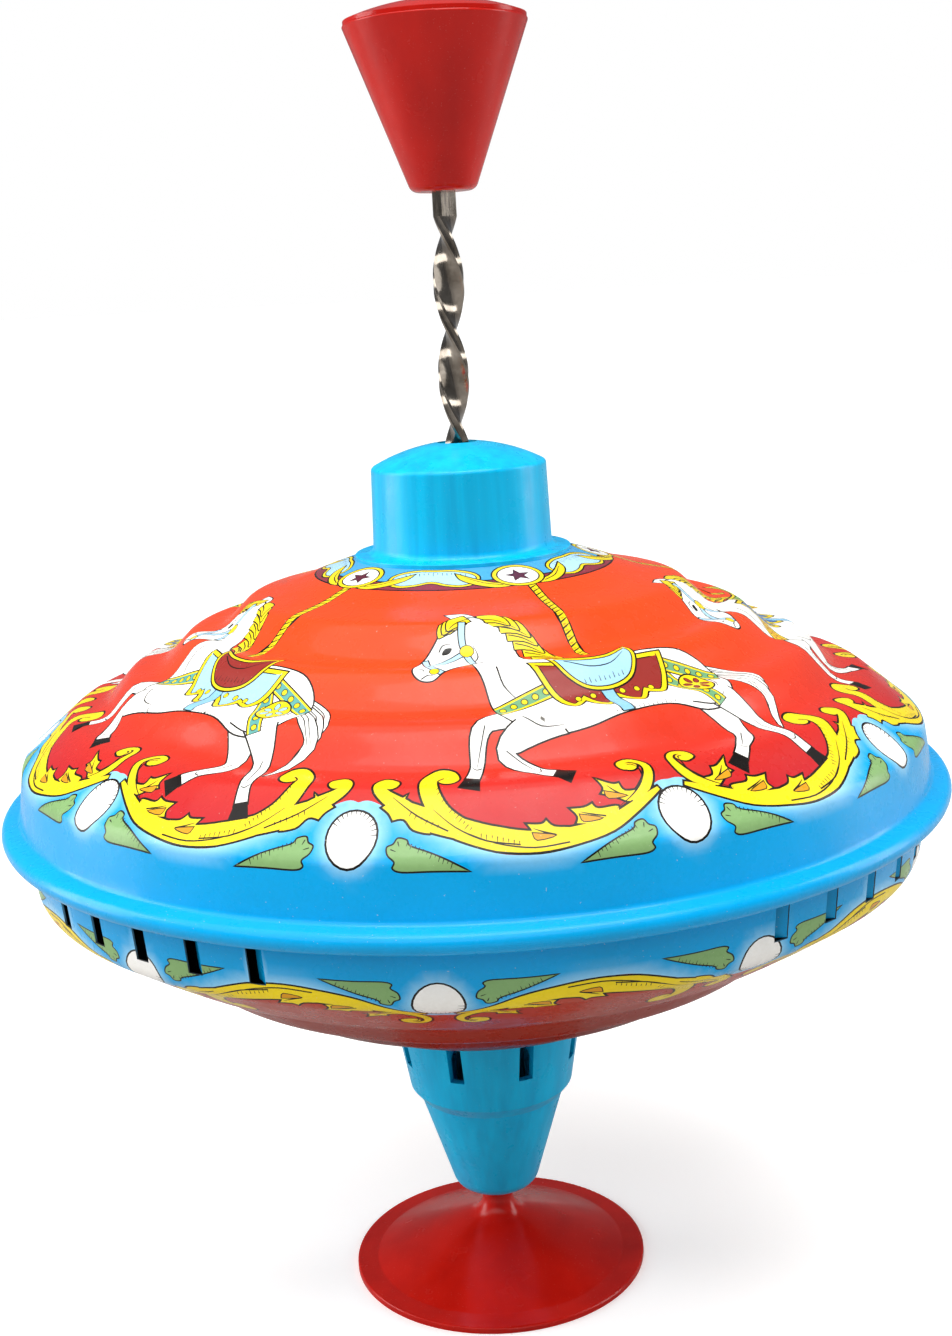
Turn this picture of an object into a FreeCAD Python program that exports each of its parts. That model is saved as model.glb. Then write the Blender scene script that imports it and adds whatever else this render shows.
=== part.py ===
import FreeCAD, Part
import math
import os

# A pump-handled humming top. Millimetres, +Z up, origin on the table under the foot's centre.

# Sheet, wall and clearance sizes
tin = 0.35                   # sheet thickness of both shells
wall = 1.6                   # wall of the moulded plastic pieces
fit_gap = 0.05               # radial gap of pieces that are pushed together
turn_gap = 0.3               # gap between pieces that turn or slide past each other
edge_round = 0.3             # rounding of plain moulded edges
bore_gap = 0.6               # around the strip in the pieces that it passes freely
cut_over = 0.5               # how far a cutter runs past the face that it opens
bearing_gap = 0.06           # radial running clearance of the pivot pin

# Foot
foot_radius = 30.1
foot_rim_thickness = 1.2
foot_rim_width = 4.3
foot_cone_rise = 9.6         # from the top of the rim to the root of the stem
foot_cone_fillet = 5.0
foot_rim_round = 0.4
foot_rim_lift = 0.3          # rim's inner edge above its outer edge
foot_hollow_fillet = 1.5     # where the rim turns into the cone
foot_land_width = 1.2        # what the hollow leaves narrower than the rim
foot_hollow_step = 0.6
foot_hollow_part = 0.4       # share of the rim's thickness that the hollow takes
stem_radius = 3.0
stem_exposed = 5.7           # stem seen between the foot's cone and the hub
stem_entry = 2.0             # stem hidden in the hub's recess

# Pivot
pin_radius = 1.5
pin_depth = 9.0              # length pressed into the stem
pin_groove_depth = 0.5
pin_tip = 1.6                # pin above its clip
pin_tip_cone = 0.7
pin_tip_round = 0.5
clip_radius = 3.4
clip_thickness = 0.8
bush_radius = 4.2
bush_flange_radius = 5.6
bush_flange_thickness = 1.0
bush_length = 9.0
thrust_radius = 4.0
thrust_thickness = 2.0
thrust_dimple = 0.6
thrust_dimple_lip = 0.6
thrust_dimple_slope = 0.6    # share of the dimple's depth left at the pin's radius

# Hub cone and collar
hub_base_radius = 8.1
hub_base_fillet = 3.6
hub_cone_height = 21.3
hub_cone_top_radius = 14.7
hub_chamfer_height = 2.3
hub_chamfer_width = 1.9
collar_height = 19.1         # from the cone's top edge to the shell
collar_top_radius = 19.5
collar_spigot_height = 2.2   # part of the collar that passes up through the shell
hub_spigot_height = 3.6      # part of the cone that fits up inside the collar
collar_slot_count = 8
collar_slot_width = 3.0
collar_slot_bottom = 8.6     # above the collar's lower edge
collar_slot_height = 7.6
collar_ledge_drop = 3.6      # reed ledge below the collar's seat for the shell
collar_spigot_wall = 1.1
collar_ledge_width = 1.6
collar_ledge_thickness = 1.2
collar_edge_round = 0.4

# Lower shell
hub_seat_width = 4.6         # flat ring of the shell on the collar
dish_rise = 34.8             # from the hub seat to the outer corner
dish_crown = 2.3             # how far the dish bulges beyond a straight cone
dish_corner_inset = 1.4      # corner radius of the dish, inside the top of the wall
dish_corner_fillet = 4.5
hub_seat_fillet = 3.0
dish_plain_margin = 3.0      # plain part of the dish, from its last rib
dish_corner_margin = 5.0     # and to its corner
plain_bend = 20.0            # long roundings of a plain part
side_wall_height = 13.4      # from the corner up to the rolled rim
side_wall_inset = 0.8        # side wall inside the upper shell's crease
side_wall_fillet = 0.8
lower_first_rib = 29.5
lower_rib_height = 1.9
lower_rib_count = 3

# Louvres in the side wall
louvre_groups = 4
louvres_per_group = 5
louvre_pitch = 8.0           # degrees
louvre_first_group = -40.5   # degrees from the front to the middle of a group
louvre_width = 3.0
louvre_height = 7.8
louvre_drop = 11.4            # top of the rolled rim down to the lower edge of the slots
louvre_angle = 38.0          # how far each flap is bent in
louvre_end_gap = 0.15        # between a flap and the ends of its slot
louvre_punch_in = 6.5        # punch inside the side wall
louvre_punch_depth = 8.0

# Rolled rim
rim_radius = 91.6
bead_radius = 1.9
rim_step = 1.6               # flat between the shoulder and the middle of the bead
curl_end = 200.0             # degrees of the bead circle at which the curl ends

# Upper shell
shoulder_height = 10.0       # above the rim's flat
shoulder_inset = 1.4         # shoulder radius inside the rim's crease
shoulder_fillet = 2.8
crease_fillet = 1.2
dome_rise = 33.6             # from the shoulder to the neck seat
dome_crown = 3.3
neck_seat_width = 7.6
neck_seat_fillet = 4.0
dome_plain_margin = 3.0      # plain part of the dome, from the neck's seat
dome_rib_margin = 4.0        # and to its first rib
last_rib_margin = 5.0        # last rib inside the shoulder
first_rib = 41.6
rib_pitch = 11.6
rib_height = 3.0
rib_bend = 5.0

# Neck
neck_base_radius = 17.3
neck_shoulder_radius = 16.8
neck_height = 17.1           # from the shell to the shoulder
neck_dome_rise = 4.4
neck_shoulder_fillet = 1.0
neck_flange_width = 3.5
neck_flange_thickness = 0.8
neck_flange_fillet = 1.4
neck_flange_round = 0.2
neck_roof_drop = 0.4         # inside of the roof's edge below the shoulder
sleeve_radius = 12.0         # bore of the sleeve that holds the clutch
sleeve_depth = 6.0           # sleeve below the shell
neck_boss_radius = 7.0
rod_hole_gap = 0.8           # around the rod in the neck's top
push_ring_thickness = 1.0
push_ring_inset = 1.2        # ring narrower than the flat seat that it grips
push_ring_teeth = 6
push_ring_slot_depth = 1.5
push_ring_slot_width = 0.8

# Clutch
ratchet_drop = 0.4           # underside of the ratchet ring below the shell's seat
ratchet_thickness = 3.0
tooth_count = 8
tooth_height = 1.2
tooth_ring_width = 3.2
tooth_run = 0.92             # share of a tooth's pitch that its slope takes
clutch_lift = 0.8            # nut held clear of the teeth
nut_radius = 10.4
nut_thickness = 4.8
nut_slot_gap = 0.2
nut_play = 2.2               # between the nut and its retainer
retainer_thickness = 1.2
rod_bush_radius = 5.0
rod_bush_flange = 1.2
rod_bush_flange_gap = 0.4    # flange inside the neck's boss
rod_bush_length = 1.6        # bush above the neck's shoulder

# Rod and handle
strip_width = 5.6
strip_thickness = 2.0
strip_edge = 0.35            # chamfer along the strip's edges
twist_pitch = 35.0           # one full left-handed turn
twist_phase = 25.0           # degrees at the lower end of the twist
travel = 45.5                # stroke of the handle
travel_gap = 0.5             # knob above the neck with the handle pressed down
straight_exposed = 4.5       # untwisted strip under the knob
rod_grip = 25.0              # strip inside the knob
rod_tail = 1.6               # strip below the stop washer
stop_radius = 4.6
stop_thickness = 1.5
stop_gap = 0.5               # stop washer below the ratchet ring with the handle pulled out
knob_base_radius = 6.0
knob_base_fillet = 1.8
knob_top_radius = 17.1
knob_height = 29.8
knob_boss_wall = 1.4
socket_end_gap = 0.25        # above the end of the strip
lid_dome_rise = 3.2
lid_thickness = 1.2
lid_edge = 0.7
lid_lip_depth = 3.0
lid_edge_inset = 0.3         # lid inside the knob's wall
handle_pin_radius = 1.0
handle_pin_height = 14.0     # above the underside of the knob

# Centre tube
tube_radius = 7.0
tube_wall = 0.5
tube_socket_depth = 2.6
plug_length = 8.0

# Reeds
reed_count = 6
reed_width = 2.2
reed_thickness = 0.15
reed_tip_gap = 1.1           # longest reed's free end to the centre tube
reed_shortest_part = 0.6875  # shortest reed as a share of the longest
reed_root_edge = 1.85        # middle of the rivets inside the plate's edge
reed_overhang = 1.2          # reed beyond the middle of its rivet
reed_clamped = 1.2           # reed held between its rivet's middle and its window
reed_window_gap = 0.3
reed_plate_thickness = 2.0
reed_rivet_radius = 0.6
reed_rivet_head = 1.0
reed_rivet_height = 0.4
reed_rivet_round = 0.2
gasket_thickness = 1.0
gasket_width = 1.7

# Heights that follow from the sizes above
stem_root = foot_rim_thickness + foot_cone_rise
hub_bottom = stem_root + stem_exposed
stem_top = hub_bottom + stem_entry
bush_bottom = stem_top + turn_gap
bush_top = bush_bottom + bush_length
clip_bottom = bush_top + turn_gap
pin_top = clip_bottom + clip_thickness + pin_tip
thrust_bottom = pin_top - thrust_dimple + turn_gap
plug_bottom = thrust_bottom
tube_bottom = plug_bottom
cone_top = hub_bottom + hub_cone_height
hub_seat = cone_top + collar_height
dish_corner = hub_seat + dish_rise
rim_flat = dish_corner + side_wall_height + tin + fit_gap + tin
bead_height = rim_flat - bead_radius
shoulder = rim_flat + shoulder_height
neck_seat = shoulder + dome_rise
ratchet_bottom = neck_seat - ratchet_drop
ratchet_top = ratchet_bottom + ratchet_thickness
tube_top = ratchet_bottom
nut_bottom = ratchet_top + 2 * tooth_height + clutch_lift
nut_top = nut_bottom + nut_thickness
retainer_bottom = nut_top + nut_play
neck_shoulder = neck_seat + neck_height
neck_top = neck_shoulder + neck_dome_rise
rod_bush_bottom = retainer_bottom + retainer_thickness
stop_top = ratchet_bottom - stop_gap
rod_bottom = stop_top - stop_thickness - rod_tail
knob_bottom = neck_top + travel_gap + travel
rod_top = knob_bottom + rod_grip
twist_top = knob_bottom - straight_exposed

# Radii that follow from the sizes above
bead_middle = rim_radius - bead_radius
crease_radius = bead_middle - rim_step
side_wall_radius = crease_radius - side_wall_inset
dish_corner_radius = side_wall_radius - dish_corner_inset
collar_bottom_radius = hub_cone_top_radius + hub_chamfer_width
hub_hole_radius = collar_top_radius - wall + fit_gap
neck_hole_radius = sleeve_radius + wall + fit_gap
rod_reach = math.hypot(strip_width / 2, strip_thickness / 2)
rod_bore = rod_reach + turn_gap
free_bore = rod_bore + bore_gap
reed_plate_inner = tube_radius + fit_gap
reed_plate_outer = hub_hole_radius - fit_gap - collar_spigot_wall - fit_gap
reed_root_radius = reed_plate_outer - reed_root_edge
reed_longest = reed_root_radius + reed_overhang - tube_radius - reed_tip_gap
reed_shortest = reed_longest * reed_shortest_part
reed_plate_bottom = hub_seat - collar_ledge_drop + gasket_thickness
reed_plate_top = reed_plate_bottom + reed_plate_thickness


def fillet_path(points):
    """Edges through the points of an open outline. A third value rounds that corner."""
    edges = []
    start = FreeCAD.Vector(points[0][0], 0, points[0][1])
    for before, here, after in zip(points, points[1:], points[2:]):
        corner = FreeCAD.Vector(here[0], 0, here[1])
        radius = here[2] if len(here) > 2 else 0
        if radius:
            back = FreeCAD.Vector(before[0], 0, before[1]) - corner
            ahead = FreeCAD.Vector(after[0], 0, after[1]) - corner
            half_turn = (math.pi - back.getAngle(ahead)) / 2
            back.normalize()
            ahead.normalize()
            reach = radius * math.tan(half_turn)
            arc_start = corner + back * reach
            arc_end = corner + ahead * reach
            bisector = (back + ahead).normalize()
            middle = corner + bisector * (radius / math.cos(half_turn) - radius)
            if (arc_start - start).Length > 1e-6:
                edges.append(Part.makeLine(start, arc_start))
            edges.append(Part.Arc(arc_start, middle, arc_end).toShape())
            start = arc_end
        else:
            edges.append(Part.makeLine(start, corner))
            start = corner
    end = FreeCAD.Vector(points[-1][0], 0, points[-1][1])
    edges.append(Part.makeLine(start, end))
    return edges


def spin(edges):
    """Solid of revolution about Z of a closed outline in the XZ plane."""
    face = Part.Face(Part.Wire(edges))
    solid = face.revolve(FreeCAD.Vector(0, 0, 0), FreeCAD.Vector(0, 0, 1), 360)
    return solid if solid.Volume > 0 else solid.reversed()


def turned(points):
    """Solid of revolution of a closed outline, given as (radius, height) or with a rounding."""
    first = points[0]
    return spin(fillet_path([*points, (first[0], first[1])]))


def ring(inner, outer, bottom, height):
    """Plain ring or disc."""
    solid = Part.makeCylinder(outer, height, FreeCAD.Vector(0, 0, bottom))
    if inner > 0:
        solid = solid.cut(Part.makeCylinder(inner, height, FreeCAD.Vector(0, 0, bottom)))
    return solid


def around(shape, count, first=0.0):
    """Copies of a shape, evenly spaced about Z."""
    copies = []
    for index in range(count):
        copy = shape.copy()
        copy.rotate(FreeCAD.Vector(0, 0, 0), FreeCAD.Vector(0, 0, 1), first + 360 * index / count)
        copies.append(copy)
    return copies


def block(x_size, y_size, z_size, x_low, z_low):
    """Box that starts at a radius along X, centred on Y."""
    return Part.makeBox(x_size, y_size, z_size, FreeCAD.Vector(x_low, -y_size / 2, z_low))


def offset_edge(edge, distance):
    """Edge of an outline moved sideways, to the left of its direction."""
    side = FreeCAD.Vector(0, -1, 0)
    first = edge.FirstParameter
    last = edge.LastParameter
    moved = []
    for parameter in (first, (first + last) / 2, last):
        tangent = edge.tangentAt(parameter)
        moved.append(edge.valueAt(parameter) + tangent.cross(side) * -distance)
    if edge.Curve.TypeId == "Part::GeomLine":
        return Part.makeLine(moved[0], moved[2])
    return Part.Arc(*moved).toShape()


def pressed_sheet(edges, thickness):
    """Turned sheet whose one face follows the edges and whose other lies to their left."""
    inner = [offset_edge(edge, thickness) for edge in edges]
    start = Part.makeLine(inner[0].valueAt(inner[0].FirstParameter),
                          edges[0].valueAt(edges[0].FirstParameter))
    end = Part.makeLine(edges[-1].valueAt(edges[-1].LastParameter),
                        inner[-1].valueAt(inner[-1].LastParameter))
    return spin([*edges, end, *reversed(inner), start])


def bowed(start, end, bulge, radius):
    """Height at a radius on an arc-like line from start to end that bulges by the given amount."""
    along = (radius - start[0]) / (end[0] - start[0])
    chord = start[1] + along * (end[1] - start[1])
    return chord + 4 * bulge * along * (1 - along)


def ribbed(start, end, bulge, first, count, height):
    """Corners of a pressed line: smooth points at both ends, with round ribs between them."""
    corners = []
    for index in range(2 * count + 1):
        radius = first + index * rib_pitch / 2
        lift = height / 2 if index % 2 == 0 else -height / 2
        corners.append((radius, bowed(start, end, bulge, radius) + lift, rib_bend))
    return corners


def smooth(start, end, bulge, low, high, steps):
    """Corners of the plain part of a pressed line, with long roundings."""
    corners = []
    for index in range(steps):
        radius = low + (high - low) * (index + 0.5) / steps
        corners.append((radius, bowed(start, end, bulge, radius), plain_bend))
    return corners


def arc_round(middle_radius, middle_height, radius, start, end):
    """Arc edge about a point of the outline, angles in degrees, clockwise."""
    points = []
    for angle in (start, (start + end) / 2, end):
        turn = math.radians(angle)
        points.append(FreeCAD.Vector(middle_radius + radius * math.cos(turn), 0,
                                     middle_height + radius * math.sin(turn)))
    return Part.Arc(*points).toShape()


def strip_section(gap, height):
    """Outline of the strip with chamfered edges, grown by a gap, turned as it is at a height."""
    half_width = strip_width / 2 + gap
    half_thickness = strip_thickness / 2 + gap
    corners = [(half_width - strip_edge, half_thickness), (half_width, half_thickness - strip_edge)]
    outline = []
    for x_sign, y_sign in ((1, 1), (1, -1), (-1, -1), (-1, 1)):
        pair = corners if x_sign * y_sign > 0 else reversed(corners)
        outline += [FreeCAD.Vector(x_sign * x, y_sign * y, 0) for x, y in pair]
    section = Part.makePolygon([*outline, outline[0]])
    section.rotate(FreeCAD.Vector(0, 0, 0), FreeCAD.Vector(0, 0, 1), strip_angle(height))
    section.translate(FreeCAD.Vector(0, 0, height))
    return section


def twisted_strip(gap, bottom, top):
    """Left-handed twisted strip, grown by a gap, that keeps the rod's phase at every height."""
    spine = Part.Wire(Part.makeLine(FreeCAD.Vector(0, 0, bottom), FreeCAD.Vector(0, 0, top)))
    guide = Part.makeHelix(twist_pitch, top - bottom, strip_width, 0, True)
    guide.translate(FreeCAD.Vector(0, 0, bottom))
    pipe = Part.BRepOffsetAPI.MakePipeShell(spine)
    pipe.setAuxiliarySpine(guide, True, 0)
    pipe.add(strip_section(gap, bottom))
    pipe.build()
    pipe.makeSolid()
    solid = pipe.shape()
    return solid if solid.Volume > 0 else solid.reversed()


def strip_angle(height):
    """Turn of the strip at a height, in degrees."""
    return twist_phase - 360 * (height - rod_bottom) / twist_pitch


def make_foot():
    rim_inner = foot_radius - foot_rim_width
    under = foot_rim_width - foot_land_width
    outside = turned([
        (0, 0), (foot_radius, 0), (foot_radius, foot_rim_thickness, foot_rim_round),
        (rim_inner, foot_rim_thickness + foot_rim_lift, foot_hollow_fillet),
        (stem_radius, stem_root, foot_cone_fillet), (stem_radius, stem_top), (0, stem_top)])
    hollow = turned([
        (0, 0), (foot_radius - under, 0),
        (rim_inner - foot_hollow_step, foot_rim_thickness * foot_hollow_part),
        (stem_radius + wall, stem_root - 2 * wall), (0, stem_root - 2 * wall)])
    socket = ring(0, pin_radius, stem_top - pin_depth, pin_depth)
    return outside.cut(hollow).cut(socket)


def make_pivot_pin():
    groove_radius = pin_radius - pin_groove_depth
    return turned([
        (0, stem_top - pin_depth), (pin_radius, stem_top - pin_depth), (pin_radius, clip_bottom),
        (groove_radius, clip_bottom), (groove_radius, clip_bottom + clip_thickness),
        (pin_radius, clip_bottom + clip_thickness),
        (pin_radius, pin_top - pin_tip_cone, pin_tip_round),
        (0, pin_top)])


def make_foot_clip():
    clip = ring(pin_radius - pin_groove_depth + fit_gap, clip_radius, clip_bottom, clip_thickness)
    opening = block(clip_radius + cut_over, pin_radius, clip_thickness, 0, clip_bottom)
    return clip.cut(opening)


def make_pivot_bush():
    bore = pin_radius + bearing_gap
    return turned([
        (bore, bush_bottom), (bush_radius, bush_bottom),
        (bush_radius, bush_top - bush_flange_thickness),
        (bush_flange_radius, bush_top - bush_flange_thickness), (bush_flange_radius, bush_top),
        (bore, bush_top)])


def make_thrust_cup():
    return turned([
        (0, thrust_bottom + thrust_dimple),
        (pin_radius, thrust_bottom + thrust_dimple * thrust_dimple_slope),
        (pin_radius + thrust_dimple_lip, thrust_bottom), (thrust_radius, thrust_bottom),
        (thrust_radius, thrust_bottom + thrust_thickness), (0, thrust_bottom + thrust_thickness)])


def make_tube_plug():
    plug_radius = tube_radius - tube_wall - fit_gap
    pocket = ring(0, thrust_radius + fit_gap, plug_bottom, thrust_thickness + fit_gap)
    return ring(0, plug_radius, plug_bottom, plug_length).cut(pocket)


def make_centre_tube():
    return ring(tube_radius - tube_wall, tube_radius, tube_bottom, tube_top - tube_bottom)


def make_hub_cone():
    stem_hole = stem_radius + turn_gap
    bush_hole = bush_radius + fit_gap
    boss_radius = tube_radius + fit_gap + wall
    socket_top = tube_bottom + tube_socket_depth
    spigot_radius = collar_bottom_radius - hub_chamfer_width - wall - fit_gap
    lean = (hub_cone_top_radius - hub_base_radius) / hub_cone_height
    inner_low = hub_base_radius + lean * (bush_top - hub_bottom) - wall
    outside = turned([
        (0, hub_bottom), (hub_base_radius, hub_bottom, hub_base_fillet),
        (hub_cone_top_radius, cone_top), (spigot_radius, cone_top),
        (spigot_radius, cone_top + hub_spigot_height), (0, cone_top + hub_spigot_height)])
    hollow = turned([
        (0, bush_top), (inner_low, bush_top), (spigot_radius - wall, cone_top),
        (spigot_radius - wall, cone_top + hub_spigot_height),
        (0, cone_top + hub_spigot_height)])
    boss = ring(0, boss_radius, bush_top, socket_top - bush_top)
    bores = [ring(0, stem_hole, hub_bottom, bush_bottom - hub_bottom),
             ring(0, bush_hole, bush_bottom, bush_top - bush_bottom),
             ring(0, bush_flange_radius + fit_gap, bush_top - bush_flange_thickness - fit_gap,
                  tube_bottom - bush_top + bush_flange_thickness + fit_gap),
             ring(0, tube_radius + fit_gap, tube_bottom, tube_socket_depth)]
    solid = outside.cut(hollow).fuse(boss)
    for bore in bores:
        solid = solid.cut(bore)
    return solid.removeSplitter()


def make_hub_collar():
    spigot_outer = hub_hole_radius - fit_gap
    spigot_inner = spigot_outer - collar_spigot_wall
    ledge_inner = spigot_inner - collar_ledge_width
    ledge = hub_seat - collar_ledge_drop
    lean = (collar_top_radius - collar_bottom_radius) / (collar_height - hub_chamfer_height)
    ledge_outer = collar_top_radius - lean * collar_ledge_drop - wall
    solid = turned([
        (hub_cone_top_radius - wall, cone_top), (hub_cone_top_radius, cone_top),
        (collar_bottom_radius, cone_top + hub_chamfer_height, collar_edge_round),
        (collar_top_radius, hub_seat, edge_round), (spigot_outer, hub_seat),
        (spigot_outer, hub_seat + collar_spigot_height),
        (spigot_inner, hub_seat + collar_spigot_height), (spigot_inner, ledge),
        (ledge_inner, ledge), (ledge_inner, ledge - collar_ledge_thickness),
        (ledge_outer - collar_ledge_thickness / 2, ledge - 2 * collar_ledge_thickness),
        (collar_bottom_radius - wall, cone_top + hub_chamfer_height)])
    slot = block(collar_top_radius, collar_slot_width, collar_slot_height,
                 hub_cone_top_radius - wall - cut_over, cone_top + collar_slot_bottom)
    for cutter in around(slot, collar_slot_count, -90 + 180 / collar_slot_count):
        solid = solid.cut(cutter)
    return solid


def make_lower_shell():
    start = (hub_hole_radius + hub_seat_width, hub_seat)
    end = (dish_corner_radius, dish_corner)
    last_rib = lower_first_rib + lower_rib_count * rib_pitch
    ribs = ribbed(start, end, -dish_crown, lower_first_rib, lower_rib_count, lower_rib_height)
    plain = smooth(start, end, -dish_crown, last_rib + dish_plain_margin,
                   dish_corner_radius - dish_corner_margin, 2)
    flange_under = rim_flat - 2 * tin - fit_gap
    path = fillet_path([
        (hub_hole_radius, hub_seat), (start[0], start[1], hub_seat_fillet), *ribs, *plain,
        (end[0], end[1], dish_corner_fillet),
        (side_wall_radius, flange_under, side_wall_fillet), (bead_middle, flange_under)])
    path.append(arc_round(bead_middle, bead_height, bead_radius - 2 * tin - fit_gap, 90, -90))
    shell = pressed_sheet(path, tin)
    slot_bottom = rim_flat - louvre_drop
    punch_start = side_wall_radius - louvre_punch_in
    slot = block(louvre_punch_depth, louvre_width, louvre_height, punch_start, slot_bottom)
    flap = shell.common(block(louvre_punch_depth, louvre_width,
                              louvre_height - 2 * louvre_end_gap, punch_start,
                              slot_bottom + louvre_end_gap))
    low = hinge_point(end, (side_wall_radius, flange_under), slot_bottom)
    high = hinge_point(end, (side_wall_radius, flange_under), slot_bottom + louvre_height)
    flap.rotate(low, high - low, louvre_angle)
    cutters = []
    flaps = []
    for group in range(louvre_groups):
        middle = -90 + louvre_first_group + 360 * group / louvre_groups
        for index in range(louvres_per_group):
            turn = middle + (index - (louvres_per_group - 1) / 2) * louvre_pitch
            for piece, pieces in ((slot, cutters), (flap, flaps)):
                copy = piece.copy()
                copy.rotate(FreeCAD.Vector(0, 0, 0), FreeCAD.Vector(0, 0, 1), turn)
                pieces.append(copy)
    return shell.cut(cutters).fuse(flaps).Solids[0]


def hinge_point(wall_low, wall_high, height):
    """Point inside the side wall's sheet, at the edge of a louvre's slot."""
    part = (height - wall_low[1]) / (wall_high[1] - wall_low[1])
    radius = wall_low[0] + (wall_high[0] - wall_low[0]) * part - tin / 3
    return FreeCAD.Vector(math.sqrt(radius ** 2 - (louvre_width / 2) ** 2), louvre_width / 2,
                          height)


def make_upper_shell():
    start = (neck_hole_radius + neck_seat_width, neck_seat)
    end = (crease_radius - shoulder_inset, shoulder)
    rib_count = int((end[0] - last_rib_margin - first_rib) / rib_pitch)
    ribs = ribbed(start, end, dome_crown, first_rib, rib_count, rib_height)
    path = fillet_path([
        (neck_hole_radius, neck_seat), (start[0], start[1], neck_seat_fillet),
        *smooth(start, end, dome_crown, start[0] + dome_plain_margin,
                first_rib - dome_rib_margin, 2), *ribs,
        (end[0], end[1], shoulder_fillet), (crease_radius, rim_flat, crease_fillet),
        (bead_middle, rim_flat)])
    path.append(arc_round(bead_middle, bead_height, bead_radius, 90, curl_end - 360))
    return pressed_sheet(path, -tin)


def make_neck_cap():
    inner_base = neck_base_radius - wall
    inner_shoulder = neck_shoulder_radius - wall
    hole = rod_reach + rod_hole_gap
    skirt = spin(dome_outline(neck_shoulder_radius, neck_shoulder, neck_dome_rise, hole, [
        (neck_shoulder_radius, neck_shoulder, neck_shoulder_fillet),
        (neck_base_radius, neck_seat + neck_flange_thickness, neck_flange_fillet),
        (neck_base_radius + neck_flange_width, neck_seat + neck_flange_thickness,
         neck_flange_round),
        (neck_base_radius + neck_flange_width, neck_seat), (inner_base, neck_seat),
        (inner_shoulder, neck_shoulder - neck_roof_drop)], wall))
    sleeve_top = neck_dome(sleeve_radius + wall) - wall / 2
    boss_bottom = rod_bush_bottom + rod_bush_flange
    boss_top = neck_dome(neck_boss_radius) - wall / 2
    sleeve = ring(sleeve_radius, sleeve_radius + wall, neck_seat - sleeve_depth,
                  sleeve_top - neck_seat + sleeve_depth)
    boss = ring(rod_bush_radius + fit_gap, neck_boss_radius, boss_bottom, boss_top - boss_bottom)
    return skirt.fuse([sleeve, boss]).removeSplitter()


def neck_dome(radius):
    """Height of the neck's domed top at a radius."""
    sphere = (neck_shoulder_radius ** 2 + neck_dome_rise ** 2) / (2 * neck_dome_rise)
    return neck_top - sphere + math.sqrt(sphere ** 2 - radius ** 2)


def dome_outline(edge_radius, edge_height, rise, hole, side, thickness):
    """Closed outline of a domed cap: its side points, then the dome inside and outside."""
    sphere = (edge_radius ** 2 + rise ** 2) / (2 * rise)
    centre = edge_height + rise - sphere

    def on_dome(radius, inset):
        size = sphere - inset
        return (radius, centre + math.sqrt(size ** 2 - radius ** 2))

    def dome_arc(low, high, inset):
        points = [on_dome(low + (high - low) * part, inset) for part in (0, 0.5, 1)]
        return Part.Arc(*[FreeCAD.Vector(r, 0, z) for r, z in points]).toShape()

    outer_end = edge_radius - neck_shoulder_fillet
    inner_start = side[-1][0]
    top = dome_arc(hole, outer_end, 0)
    under = dome_arc(inner_start, hole, thickness)
    sides = fillet_path([on_dome(outer_end, 0), *side, on_dome(inner_start, thickness)])
    bore = Part.makeLine(under.valueAt(under.LastParameter), top.valueAt(top.FirstParameter))
    return [top, *sides, under, bore]


def make_push_ring(inner, seat_width, bottom):
    """Push-on ring whose bore is slotted into spring teeth."""
    solid = ring(inner, inner + seat_width - push_ring_inset, bottom, push_ring_thickness)
    slot = block(push_ring_slot_depth + cut_over, push_ring_slot_width, push_ring_thickness,
                 inner - cut_over, bottom)
    for cutter in around(slot, push_ring_teeth):
        solid = solid.cut(cutter)
    return solid


def saw_teeth(bottom, outer, facing):
    """Ring of saw teeth on a level, facing up (1) or down (-1)."""
    inner = outer - tooth_ring_width
    pitch = 2 * math.pi / tooth_count
    teeth = []
    for index in range(tooth_count):
        start = index * pitch
        faces = []
        for radius in (inner, outer):
            ends = [(start, 0), (start + pitch * tooth_run, 0), (start, tooth_height * facing)]
            points = [FreeCAD.Vector(radius * math.cos(turn), radius * math.sin(turn), bottom + rise)
                      for turn, rise in ends]
            faces.append(Part.makePolygon([*points, points[0]]))
        teeth.append(Part.makeLoft(faces, True, True))
    return teeth


def make_ratchet_ring():
    body = ring(free_bore, sleeve_radius - fit_gap, ratchet_bottom, ratchet_thickness)
    return body.fuse(saw_teeth(ratchet_top, nut_radius, 1)).removeSplitter()


def make_drive_nut():
    body = ring(0, nut_radius, nut_bottom, nut_thickness)
    body = body.fuse(saw_teeth(nut_bottom, nut_radius, -1)).removeSplitter()
    return body.cut(twisted_strip(nut_slot_gap, nut_bottom - tooth_height - cut_over,
                                  nut_top + cut_over))


def make_nut_retainer():
    return ring(free_bore, sleeve_radius - fit_gap, retainer_bottom, retainer_thickness)


def make_rod_bush():
    top = neck_shoulder + rod_bush_length
    flange_radius = neck_boss_radius - rod_bush_flange_gap
    return turned([
        (rod_bore, rod_bush_bottom), (flange_radius, rod_bush_bottom),
        (flange_radius, rod_bush_bottom + rod_bush_flange),
        (rod_bush_radius, rod_bush_bottom + rod_bush_flange), (rod_bush_radius, top),
        (rod_bore, top)])


def make_spiral_rod():
    twisted = twisted_strip(0, rod_bottom, twist_top)
    straight = Part.Face(strip_section(0, twist_top))
    straight = straight.extrude(FreeCAD.Vector(0, 0, rod_top - twist_top))
    return twisted.fuse(straight).cut(pin_bore(handle_pin_radius))


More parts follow.
